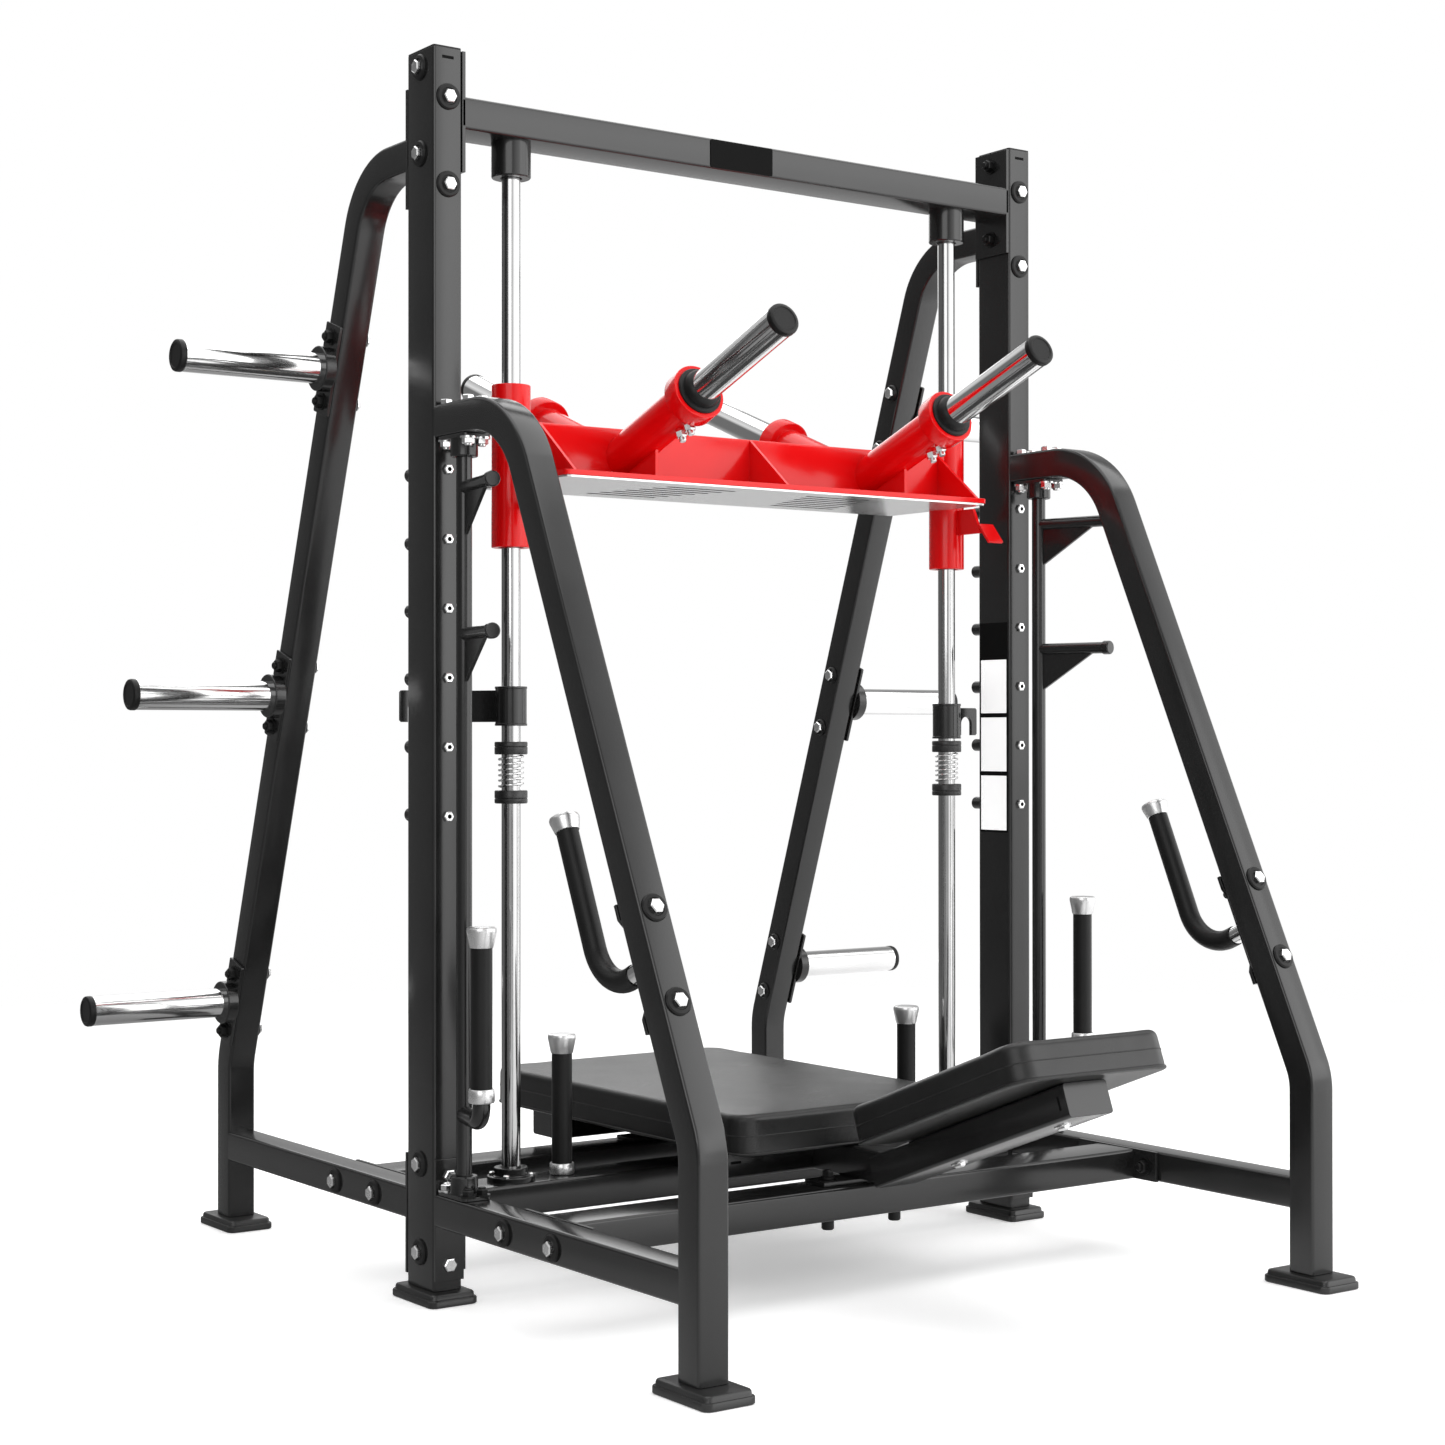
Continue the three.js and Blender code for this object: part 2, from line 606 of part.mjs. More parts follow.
function hornSocket(x, direction) {
  const bore = HORN_RADIUS + GAP;
  const profile = [
    [0, 5], [32, 5], [32, 222], [45, 226], [45, SOCKET_END], [bore, SOCKET_END], [bore, 110], [0, 110],
  ];
  return aimed(lathe(profile), HORN_DIRECTION(direction), [x, 0, HORN_ROOT_Z]);
}

function carriage() {
  const outline = roundedRectangle([-DECK_HALF_X, DECK_HALF_X], [-DECK_HALF_Y, DECK_HALF_Y], DECK_CORNER);
  const deck = prism("z", outline, PLATE_Z, 2);
  const beam = bar("x", [-424, 424], [-BEAM_HALF_Y, BEAM_HALF_Y], [PLATE_Z[0] + 1, CARRIAGE_BEAM_TOP], 4);
  const onSides = (geometry) => SIDES.map(([, sign]) => geometry.clone().translate(sign * ROD_X, 0, 0));
  const sleeves = onSides(rod(SLEEVE_RADIUS, SLEEVE_Z, 20));
  const bores = onSides(rod(BUSH_RADIUS + GAP, [SLEEVE_Z[0] - 1, SLEEVE_Z[1] + 1]));
  const webs = [-1, 1].flatMap((direction) => [
    ...[-411, 0, 411].map((x) => gusset(x, direction)),
    ...[-HORN_X, HORN_X].flatMap((x) => [socketWeb(x, direction), hornSocket(x, direction)]),
  ]);
  return cut(join(deck, beam, ...sleeves, ...webs), ...bores);
}

function carriageHorn(sign, direction) {
  const [root, tip, cuff] = [111, 491, 32];
  const profile = [
    [0, root], [HORN_RADIUS, root], [HORN_RADIUS, SOCKET_END + GAP], [cuff, SOCKET_END + GAP],
    [cuff, SOCKET_END + 14], [cuff - 4, SOCKET_END + 22], [HORN_RADIUS, SOCKET_END + 22],
    [HORN_RADIUS, tip - 3], [HORN_RADIUS - 3, tip], [0, tip],
  ];
  return aimed(lathe(profile), HORN_DIRECTION(direction), [sign * HORN_X, 0, HORN_ROOT_Z]);
}

// A grey anti-slip sheet under the deck, pierced by two groups of seven slots.
function treadPlate() {
  const x = [-DECK_HALF_X + 2, DECK_HALF_X - 2];
  const y = [-DECK_HALF_Y + 2, DECK_HALF_Y - 2];
  const z = [PLATE_Z[0] - 3 - GAP, PLATE_Z[0] - GAP];
  const through = [z[0] - 1, z[1] + 1];
  const opening = rod(SLEEVE_RADIUS + 1, through, 20);
  const openings = SIDES.map(([, sign]) => opening.clone().translate(sign * ROD_X, 0, 0));
  for (const [, sign] of SIDES) {
    for (let row = -3; row <= 3; row += 1) {
      const slotX = sided(sign, 98 + 8 * row, 232 + 8 * row);
      openings.push(box(slotX, [27 * row - 3.5, 27 * row + 3.5], through));
    }
  }
  return cut(prism("z", roundedRectangle(x, y, DECK_CORNER), z, 1), ...openings);
}

// A bracket under the deck in front of the sleeve, with a tab that lands on a safety peg.
function catchLug(sign) {
  const top = PLATE_Z[0] - 4;
  const outline = [[-SLEEVE_RADIUS - 0.6, top], [-74, top], [-94, 1222], [-SLEEVE_RADIUS - 0.6, 1222]]
    .map(([y, z]) => new THREE.Vector2(y, z));
  const bracket = prism("x", new THREE.Shape(outline), [-3, 3], 1);
  const tab = box([-3, 30], [-2.5, 2.5], [-18, 24])
    .rotateX(radians(-40))
    .translate(0, -104, 1219);
  return join(bracket, tab).scale(sign, 1, 1).translate(sign * ROD_X, 0, 0);
}

// Mirrors of a closed mesh need their triangles turned round.
function facingOut(geometry) {
  const index = geometry.index;
  for (let i = 0; i < index.count; i += 3) {
    const second = index.getX(i + 1);
    index.setX(i + 1, index.getX(i + 2));
    index.setX(i + 2, second);
  }
  return geometry;
}

addPiece("carriage_frame", carriage(), "carriage");
addPiece("tread_plate", treadPlate(), "tread");
for (const [side, sign] of SIDES) {
  const bush = ring(ROD_BORE, BUSH_RADIUS, [SLEEVE_Z[0] + 3, SLEEVE_Z[1] - 3]);
  addPiece(`carriage_bush_${side}`, bush.translate(sign * ROD_X, 0, 0), "bronze");
  const lug = catchLug(sign);
  addPiece(`catch_lug_${side}`, sign < 0 ? facingOut(lug) : lug, "carriage");
  for (const [end, direction] of FRONT_BACK) {
    addPiece(`load_horn_${end}_${side}`, carriageHorn(sign, direction), "chrome");
  }
}

// ---- bench -----------------------------------------------------------------------------
// A piece lying along the headrest's slope, u along it from its low end, w below its top.
function onSlope(x, [u0, u1], [w0, w1], radius, bevel) {
  const outline = roundedRectangle([-x, x], [u0, u1], radius);
  return prism("z", outline, [-w1, -w0], 2, bevel)
    .rotateZ(Math.PI)
    .rotateX(radians(-HEAD_TILT))
    .translate(0, ...HEAD_TOP_START);
}

function benchFrame() {
  const tubeZ = [175, 225];
  const spine = bar("y", [-TUBE / 2, TUBE / 2], [-400, 345], tubeZ);
  const crosses = [[-226, -142], [261, 345]].map((y) => bar("x", [-200, 200], y, tubeZ));
  const feet = [...CROSS_BEAMS.map(([, y]) => y), 0].map((y) =>
    box([-FLANGE_LENGTH / 2, FLANGE_LENGTH / 2], [y - 25, y + 25], [BEAM_Z[1] + GAP, tubeZ[0] + 1]),
  );
  const underPad = [HEAD_THICK + GAP, HEAD_THICK + TUBE];
  const prop = onSlope(DEEP / 2, [-126, HEAD_LENGTH - 37], underPad, CORNER, 2);
  const behind = box([-100, 100], [-372, 100], [0, 400]);
  return join(spine, ...crosses, ...feet, cut(prop, behind));
}

addPiece("bench_frame", benchFrame(), "frame");
const flatPad = prism("z", roundedRectangle([-PAD_HALF_X, PAD_HALF_X], PAD_Y, 36), PAD_Z, 3, 12);
addPiece("flat_pad", flatPad, "vinyl");
addPiece("head_pad", onSlope(HEAD_HALF_X, [0, HEAD_LENGTH], [0, HEAD_THICK], 35, 12), "vinyl");

// The origin is on the floor, below the middle of the whole machine.
machine.updateMatrixWorld(true);
const extent = new THREE.Box3().setFromObject(machine);
machine.position.y = -(extent.min.y + extent.max.y) / 2;

export default machine;
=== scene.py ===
import math

import bmesh
import bpy
from mathutils import Euler, Matrix, Vector
from mathutils.bvhtree import BVHTree

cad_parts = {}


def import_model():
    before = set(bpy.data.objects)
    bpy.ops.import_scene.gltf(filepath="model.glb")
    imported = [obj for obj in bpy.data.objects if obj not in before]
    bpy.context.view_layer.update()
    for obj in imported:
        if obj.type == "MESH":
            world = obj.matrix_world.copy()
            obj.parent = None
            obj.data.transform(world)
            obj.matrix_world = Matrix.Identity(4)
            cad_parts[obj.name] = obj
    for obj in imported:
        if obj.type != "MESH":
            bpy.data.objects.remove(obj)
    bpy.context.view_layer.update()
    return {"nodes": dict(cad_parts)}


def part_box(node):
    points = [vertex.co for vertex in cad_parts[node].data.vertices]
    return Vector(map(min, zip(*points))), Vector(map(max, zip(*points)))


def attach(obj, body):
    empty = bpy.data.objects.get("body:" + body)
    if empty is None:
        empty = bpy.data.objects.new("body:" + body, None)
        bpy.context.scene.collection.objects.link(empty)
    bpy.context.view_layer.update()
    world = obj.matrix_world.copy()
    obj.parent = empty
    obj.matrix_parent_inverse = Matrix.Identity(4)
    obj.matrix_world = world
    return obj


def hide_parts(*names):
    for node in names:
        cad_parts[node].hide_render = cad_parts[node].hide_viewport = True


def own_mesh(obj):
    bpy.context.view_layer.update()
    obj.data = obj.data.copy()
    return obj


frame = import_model()

# ---- measures -------------------------------------------------------------------------------
# Lengths are millimetres from the point on the floor between the two uprights: x to the right,
# y to the rear, z up. Shape.finish turns them into the frame's metres.
MM = 0.001
X, Y, Z = 0, 1, 2
SIDES = (("left", -1), ("right", 1))


def span(node, axis):
    low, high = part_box(node)
    return low[axis] / MM, high[axis] / MM


def middle(node, axis):
    return sum(span(node, axis)) / 2


POST_Y = middle("guide_rod_right", Y)
ORIGIN = Matrix.Translation((0, POST_Y * MM, 0)) @ Matrix.Scale(MM, 4)


def y_span(node):
    low, high = span(node, Y)
    return low - POST_Y, high - POST_Y


TUBE = 50
DEEP = 84
CORNER = 5
PLATE = 6
GAP = 0.3
POST_X = middle("upright_right", X)
POST_INNER = POST_X - TUBE / 2
POST_OUTER = POST_X + TUBE / 2
POST_Z = span("upright_right", Z)
ROD_X = middle("guide_rod_right", X)
ROD_Z = span("guide_rod_right", Z)
ROD_RADIUS = 15
FOOT_HALF_X, FOOT_HALF_Y = 42, 66
LEG_Y = y_span("rear_foot_right")[1] - FOOT_HALF_Y
FOOT_TOP = span("rear_foot_right", Z)[1]
RAIL_Z = (120, 170)
BEAM_Z = (119, 169)
TOP_BEAM_Z = (1801, 1851)
PEG_HEIGHTS = (744, 850, 956, 1062, 1168, 1275)
PEG_RADIUS = 11
PEG_END = y_span("upright_right")[1]
FLANGE = 186
FLANGE_BOLT = 67
FRONT_ARM_Z = 1347
REAR_ARM_Z = 1770
FRONT_SLOPE = math.radians(24.8)
REAR_SLOPE = math.radians(19.3)
FRONT_BEAM_Y, REAR_BEAM_Y = -318, 218
HALF_DEEP = (-DEEP / 2, DEEP / 2)
UP = Vector((0, 0, 1))


# ---- materials ------------------------------------------------------------------------------
def node(tree, kind, inputs=(), **settings):
    made = tree.nodes.new("ShaderNode" + kind)
    for key, value in settings.items():
        setattr(made, key, value)
    for key, value in dict(inputs).items():
        if isinstance(value, bpy.types.NodeSocket):
            tree.links.new(value, made.inputs[key])
        else:
            made.inputs[key].default_value = value
    return made


def grey(value):
    return (value, value, value, 1)


def ramped(tree, factor, low, high, start=0.3, end=0.7):
    """Maps a factor between start and end to a value between low and high."""
    found = node(tree, "MapRange", {"Value": factor, "From Min": start, "From Max": end,
                                    "To Min": low, "To Max": high})
    return found.outputs["Result"]


def surface(name, colours, roughness, grain, bump, blotch=9, stretch=(1, 1, 1), metallic=0, sockets=()):
    """A finish whose colour and roughness drift slowly, with a fine grain in its bump.
    grain and blotch are in repeats a metre, bump is (strength, height in metres)."""
    made = bpy.data.materials.new(name)
    made.use_nodes = True
    tree = made.node_tree
    shader = tree.nodes["Principled BSDF"]
    place = node(tree, "TexCoord").outputs["Object"]
    place = node(tree, "Mapping", {"Vector": place, "Scale": stretch}).outputs["Vector"]
    slow = node(tree, "TexNoise", {"Vector": place, "Scale": blotch, "Detail": 4}).outputs["Fac"]
    fine = node(tree, "TexNoise", {"Vector": place, "Scale": grain, "Detail": 3}).outputs["Fac"]
    share = ramped(tree, slow, 0, 1)
    colour = node(tree, "MixRGB", {"Fac": share, "Color1": colours[0], "Color2": colours[1]})
    both = node(tree, "Math", {0: slow, 1: fine}, operation="ADD").outputs[0]
    strength, height = bump
    relief = node(tree, "Bump", {"Height": fine, "Strength": strength, "Distance": height})
    tree.links.new(colour.outputs["Color"], shader.inputs["Base Color"])
    tree.links.new(ramped(tree, both, *roughness, 0.7, 1.3), shader.inputs["Roughness"])
    tree.links.new(relief.outputs["Normal"], shader.inputs["Normal"])
    shader.inputs["Metallic"].default_value = metallic
    for key, value in dict(sockets).items():
        shader.inputs[key].default_value = value
    return made


def vinyl():
    """Upholstery vinyl: a leather grain of small cells with fine pores."""
    made = surface("vinyl_black", (grey(0.004), grey(0.007)), (0.26, 0.35), 1500, (0.1, 0.0002),
                   sockets={"Specular IOR Level": 0.42})
    tree = made.node_tree
    place = node(tree, "TexCoord").outputs["Object"]
    cells = node(tree, "TexVoronoi", {"Vector": place, "Scale": 620}, feature="DISTANCE_TO_EDGE")
    relief = next(n for n in tree.nodes if n.type == "BUMP")
    creases = ramped(tree, cells.outputs["Distance"], 0, 1, 0, 0.12)
    leather = node(tree, "Bump", {"Height": creases, "Strength": 0.22, "Distance": 0.0003,
                                  "Normal": relief.outputs["Normal"]})
    tree.links.new(leather.outputs["Normal"], tree.nodes["Principled BSDF"].inputs["Normal"])
    return made


def ribbed_rubber():
    """Grip rubber with fine rings round it."""
    made = surface("grip_rubber", (grey(0.005), grey(0.008)), (0.36, 0.46), 900, (0.12, 0.0003),
                   sockets={"Specular IOR Level": 0.22})
    tree = made.node_tree
    place = node(tree, "TexCoord").outputs["Object"]
    rings = node(tree, "TexWave", {"Vector": place, "Scale": 90, "Distortion": 0.4},
                 bands_direction="Z")
    relief = next(n for n in tree.nodes if n.type == "BUMP")
    ribs = node(tree, "Bump", {"Height": rings.outputs["Fac"], "Strength": 0.12, "Distance": 0.0004,
                               "Normal": relief.outputs["Normal"]})
    tree.links.new(ribs.outputs["Normal"], tree.nodes["Principled BSDF"].inputs["Normal"])
    return made


REDS = ((0.6, 0.002, 0.003, 1), (0.66, 0.003, 0.004, 1))
BRONZES = ((0.36, 0.24, 0.1, 1), (0.46, 0.32, 0.15, 1))
MATERIALS = {
    "frame_paint": surface("paint_black", (grey(0.008), grey(0.011)), (0.15, 0.22), 900, (0.025, 0.0002)),
    "carriage_paint": surface("paint_red", REDS, (0.13, 0.2), 700, (0.03, 0.0002),
                              sockets={"Specular IOR Level": 0.3}),
    "chrome": surface("chrome", (grey(0.7), grey(0.76)), (0.1, 0.12), 30, (0, 0.0001), metallic=1),
    # A darker copy of the chrome for the guide rods: painted shade that tones down the highlights on them.
    "rod": surface("rod_chrome_painted_shade", (grey(0.42), grey(0.47)), (0.1, 0.12), 30, (0, 0.0001), metallic=1),
    "rubber": surface("rubber_black", (grey(0.009), grey(0.014)), (0.3, 0.44), 1300, (0.1, 0.0003)),
    "plastic": surface("plastic_black", (grey(0.005), grey(0.007)), (0.34, 0.44), 1500, (0.05, 0.0002),
                       sockets={"Specular IOR Level": 0.22}),
    # Black for the label's header and the badge, and painted shade where it stands for slots, a notch and
    # screw holes.
    "dark": surface("black_and_painted_slot_shade", (grey(0.002), grey(0.003)), (0.7, 0.85), 600, (0.05, 0.0002),
                    sockets={"Specular IOR Level": 0.1}),
    "grip_rubber": ribbed_rubber(),
    "vinyl": vinyl(),
    "steel": surface("zinc", (grey(0.7), grey(0.8)), (0.16, 0.3), 500, (0.05, 0.0002),
                     blotch=90, metallic=1),
    "bronze": surface("bronze", BRONZES, (0.3, 0.45), 500, (0.08, 0.0002), metallic=1),
    "satin_metal": surface("satin_aluminium", (grey(0.6), grey(0.66)), (0.26, 0.34), 420, (0.04, 0.0002),
                           metallic=0.9),
    "tread": surface("tread_sheet", (grey(0.56), grey(0.64)), (0.14, 0.22), 900, (0.04, 0.0002),
                     metallic=0.7),
    # The label's white panels glow a little: painted light, as they are no lamp.
    "label": surface("label_white_painted_glow", (grey(0.86), grey(0.9)), (0.3, 0.4), 400, (0.02, 0.0001),
                     sockets={"Emission Color": grey(1), "Emission Strength": 0.4}),
}


# ---- shapes ---------------------------------------------------------------------------------
def circle(radius, sides=48):
    return [(radius * math.cos(2 * math.pi * i / sides), radius * math.sin(2 * math.pi * i / sides))
            for i in range(sides)]


def rounded(half_u, half_v, radius=CORNER, steps=5):
    """The (u, v) outline of a rectangle with round corners, about its own middle."""
    points = []
    for turn, (su, sv) in enumerate(((1, 1), (-1, 1), (-1, -1), (1, -1))):
        for i in range(steps + 1):
            angle = math.pi / 2 * (turn + i / steps)
            points.append((su * (half_u - radius) + radius * math.cos(angle),
                           sv * (half_v - radius) + radius * math.sin(angle)))
    return points


def round_route(corners, step=math.radians(4)):
    """Points along an (y, z) line whose corners (y, z, radius) are rounded."""
    points = []
    for i, (y, z, *radius) in enumerate(corners):
        here = Vector((y, z))
        if not radius:
            points.append(here)
            continue
        back = (Vector(corners[i - 1][:2]) - here).normalized()
        ahead = (Vector(corners[i + 1][:2]) - here).normalized()
        half = back.angle(ahead) / 2
        centre = here + (back + ahead).normalized() * radius[0] / math.sin(half)
        arm = here + back * radius[0] / math.tan(half) - centre
        turn = math.pi - 2 * half
        sense = math.copysign(1, back.x * ahead.y - back.y * ahead.x) * -1
        count = max(2, math.ceil(turn / step))
        for k in range(count + 1):
            angle = sense * turn * k / count
            turned = Vector((arm.x * math.cos(angle) - arm.y * math.sin(angle),
                             arm.x * math.sin(angle) + arm.y * math.cos(angle)))
            points.append(centre + turned)
    return points


class Shape:
    """One mesh put together from swept, turned and flat pieces."""

    def __init__(self):
        self.mesh = bmesh.new()

    def loft(self, rings, closed=False):
        """Joins rings of points one after another: closed brings the last round to the first."""
        made = [[self.mesh.verts.new(point) for point in ring] for ring in rings]
        count = len(made[0])
        pairs = list(zip(made, made[1:] + ([made[0]] if closed else [])))
        faces = []
        for low, high in pairs:
            for i in range(count):
                j = (i + 1) % count
                faces.append(self.mesh.faces.new((low[i], low[j], high[j], high[i])))
        if not closed:
            faces.append(self.mesh.faces.new(made[0][::-1]))
            faces.append(self.mesh.faces.new(made[-1]))
        bmesh.ops.recalc_face_normals(self.mesh, faces=faces)

    def turned(self, profile, at=(0, 0, 0), along=UP, hollow=False, sides=48):
        """A turned piece from (radius, height) points, its axis along a direction from a point."""
        turn = UP.rotation_difference(Vector(along)).to_matrix()
        at = Vector(at)
        rings = [[at + turn @ Vector((u, v, height)) for u, v in circle(radius, sides)]
                 for radius, height in profile]
        self.loft(rings, closed=hollow)

    def swept(self, section, route):
        """A section (across, up) carried along a route in a plane where x doesn't change."""
        route = [Vector(point) for point in route]
        side = Vector((1, 0, 0))
        rings = []
        for i, point in enumerate(route):
            before = (point - route[max(i - 1, 0)]) if i else (route[1] - point)
            after = (route[i + 1] - point) if i + 1 < len(route) else before
            before.normalize()
            after.normalize()
            along = (before + after).normalized()
            up = along.cross(side)
            mitre = 1 / max(along.dot(before), 0.5)
            rings.append([point + side * u + up * v * mitre for u, v in section])
        self.loft(rings)

    def bar(self, x, y, z, axis, radius=CORNER):
        """A tube's outer form between bounds, rounded along its length."""
        bounds = (x, y, z)
        across = [a for a in (X, Y, Z) if a != axis]
        (u0, u1), (v0, v1) = bounds[across[0]], bounds[across[1]]
        outline = rounded((u1 - u0) / 2, (v1 - v0) / 2, radius)
        rings = []
        for end in bounds[axis]:
            ring = []
            for u, v in outline:
                point = [0, 0, 0]
                point[axis] = end
                point[across[0]] = (u0 + u1) / 2 + u
                point[across[1]] = (v0 + v1) / 2 + v
                ring.append(point)
            rings.append(ring)
        self.loft(rings)

    def box(self, x, y, z):
        low, high = zip(x, y, z)
        self.loft([[(low[0], low[1], h), (high[0], low[1], h), (high[0], high[1], h), (low[0], high[1], h)]
                   for h in (low[2], high[2])])

    def sheet(self, outline, x):
        """A flat plate with a (y, z) outline between two x values."""
        self.loft([[(at, y, z) for y, z in outline] for at in x])

    def moved(self, matrix):
        bmesh.ops.transform(self.mesh, matrix=matrix, verts=self.mesh.verts)
        return self

    def added(self, other):
        """Takes another shape's mesh into this one."""
        spare = bpy.data.meshes.new("spare")
        other.mesh.to_mesh(spare)
        self.mesh.from_mesh(spare)
        bpy.data.meshes.remove(spare)

    def finish(self, name, body, finish, replaces=(), bevel=0.7):
        """Makes the object: its edges are softened, its curved faces shaded smooth."""
        self.mesh.transform(ORIGIN)
        data = bpy.data.meshes.new(name)
        self.mesh.to_mesh(data)
        self.mesh.free()
        data.shade_smooth()
        data.set_sharp_from_angle(angle=math.radians(35))
        made = bpy.data.objects.new(name, data)
        bpy.context.scene.collection.objects.link(made)
        if bevel:
            edge = made.modifiers.new("edges", "BEVEL")
            edge.width = bevel * MM
            edge.segments = 2
            edge.limit_method = "ANGLE"
            edge.angle_limit = math.radians(35)
            edge.harden_normals = True
        data.materials.append(MATERIALS[finish])
        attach(made, body)
        if replaces:
            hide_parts(*replaces)
        return made


def sided(sign, inner, outer):
    return (inner, outer) if sign > 0 else (-outer, -inner)


# ---- bolts ----------------------------------------------------------------------------------
HEX_RADIUS = 11
FIXINGS = {}


def fixings(body, finish):
    """The mesh that gathers one body's bolts, nuts and washers of one finish."""
    return FIXINGS.setdefault((body, finish), Shape())


def hexagon(shape, at, along, radius, height):
    profile = [(radius, 0), (radius, height - 1.5), (radius - 1.8, height)]
    shape.turned(profile, at, along, sides=6)


def bolt(at, along, body="frame", cap=20):
    """A hex head on a domed black washer cap, on a surface at a point."""
    along = Vector(along).normalized()
    dome = [(cap, -1), (cap, 2.5), (cap - 2, 4.5), (13.5, 5), (12.5, 3.5), (1, 3.5)]
    fixings(body, "plastic").turned(dome, at, along, sides=40)
    hexagon(fixings(body, "steel"), Vector(at) + along * 3, along, HEX_RADIUS, 8)


def nut(at, along, finish="steel", stud=6, radius=HEX_RADIUS, height=10):
    """A washer, a hex nut and the end of its bolt."""
    along = Vector(along).normalized()
    shape = fixings("frame", finish)
    shape.turned([(radius + 3, -1), (radius + 3, 2), (1, 2)], at, along, sides=32)
    hexagon(shape, Vector(at) + along * 1.5, along, radius, height)
    tip = height + stud
    shape.turned([(6, height - 1), (6, tip), (4.8, tip + 1.2), (1, tip + 1.2)], at, along, sides=20)


def socket_screw(at, along, radius=8.5):
    """A small hex head with a dark disc in its middle: painted shade for the hole of its socket."""
    along = Vector(along)
    hexagon(fixings("frame", "steel"), Vector(at) - along, along, radius, 7)
    fixings("frame", "dark").turned([(3.6, 5.9), (3.6, 6.2), (1, 6.2)], at, along, sides=20)


def painted_slit_shade(x, y, z):
    """A narrow dark box between bounds a little proud of a tube's face: painted shade for a slot in it."""
    fixings("frame", "dark").box(x, y, z)


# ---- uprights, feet and pegs ----------------------------------------------------------------
FRONT_BOLTS_Z = (1846, 1712, 195, 60)
SIDE_BOLTS_Z = (1896, 1763, 210, 75)


def upright(side, sign):
    shape = Shape()
    shape.bar(sided(sign, POST_INNER, POST_OUTER), HALF_DEEP, (POST_Z[0], POST_Z[1] - 3), Z)
    length = PEG_END - DEEP / 2
    weld = PEG_RADIUS + 5
    peg = [(weld, 0), (weld, 1), (PEG_RADIUS, 4), (PEG_RADIUS, length - 3), (PEG_RADIUS - 3, length)]
    for height in PEG_HEIGHTS:
        shape.turned(peg, (sign * POST_X, DEEP / 2, height), (0, 1, 0), sides=36)
    shape.finish(f"upright_tube_{side}", "frame", "frame_paint", [f"upright_{side}"])
    cap = Shape()
    cap.bar(sided(sign, POST_INNER + 0.5, POST_OUTER - 0.5), (-DEEP / 2 + 0.5, DEEP / 2 - 0.5),
            (POST_Z[1] - 6, POST_Z[1]), Z, 4)
    cap.finish(f"upright_cap_{side}", "frame", "plastic")
    x = sign * POST_X
    # A dark box: painted shade for a slot in the upright's front face.
    painted_slit_shade((x - 10, x + 10), (-DEEP / 2 - 0.3, -DEEP / 2 + 1), (1904.5, 1909))
    for height in PEG_HEIGHTS:
        socket_screw((x, -DEEP / 2, height), (0, -1, 0))
    for height in FRONT_BOLTS_Z:
        bolt((x, -DEEP / 2, height), (0, -1, 0))
        nut((x, DEEP / 2 + PLATE + GAP, height), (0, 1, 0), "plastic")
    for height in SIDE_BOLTS_Z:
        bolt((sign * POST_OUTER, 0, height), (sign, 0, 0))
        nut((sign * (POST_INNER - PLATE - GAP), 0, height), (-sign, 0, 0), "plastic")


def foot(name, x, y):
    """A rubber foot: a broad sole under a narrower step."""
    levels = ((1.5, 0), (0, 1.5), (0, 9.5), (1, 11), (3, 11.5), (3.6, 13), (4, 17), (5.5, 19),
              (9, FOOT_TOP))
    rings = []
    for inset, z in levels:
        outline = rounded(FOOT_HALF_X - inset, FOOT_HALF_Y - inset, 12 - inset / 2, 6)
        rings.append([(x + u, y + v, z) for u, v in outline])
    shape = Shape()
    shape.loft(rings)
    shape.finish(name + "_pad", "frame", "rubber", [name], bevel=0)


for side, sign in SIDES:
    upright(side, sign)
    foot(f"middle_foot_{side}", sign * POST_X, 0)
    foot(f"front_foot_{side}", sign * POST_X, -LEG_Y)
    foot(f"rear_foot_{side}", sign * POST_X, LEG_Y)


# ---- cross-beams ----------------------------------------------------------------------------
def cross_beam(shape, y, z):
    end = POST_INNER - GAP
    shape.bar((-end + 1, end - 1), (y - DEEP / 2, y + DEEP / 2), z, X)


def end_plates(shape, y, z):
    for _, sign in SIDES:
        shape.box(sided(sign, POST_INNER - PLATE - GAP, POST_INNER - GAP), y, z)


TOP_PLATE_Z = (1734, 1920)
LOW_PLATE_Z = (49, 235)
BEAM_BOLT_Z = 143.6
PIN_X = 67
top = Shape()
cross_beam(top, 0, TOP_BEAM_Z)
end_plates(top, HALF_DEEP, TOP_PLATE_Z)
for _, sign in SIDES:
    collar = [(16.5, 1802), (31.5, 1802), (31.5, 1747), (30, 1745), (17.5, 1745), (16.5, 1747)]
    top.turned(collar, (sign * ROD_X, 0, 0), hollow=True)
top.finish("top_beam_tube", "frame", "frame_paint", ["top_beam"])

low = Shape()
cross_beam(low, 0, BEAM_Z)
end_plates(low, HALF_DEEP, LOW_PLATE_Z)
for _, sign in SIDES:
    at = (sign * ROD_X, 0, 0)
    socket = [(16, 168), (38, 168), (38, 176), (37, 177), (28, 177), (27, 178), (27, 189), (26, 190),
              (17, 190), (16, 189)]
    low.turned(socket, at, hollow=True)
low.finish("middle_beam_tube", "frame", "frame_paint", ["middle_cross_beam"])
for _, sign in SIDES:
    for angle in (45, 135, 225, 315):
        dx, dy = 31 * math.cos(math.radians(angle)), 31 * math.sin(math.radians(angle))
        hexagon(fixings("frame", "steel"), (sign * ROD_X + dx, dy, 176.5), UP, 5, 5)

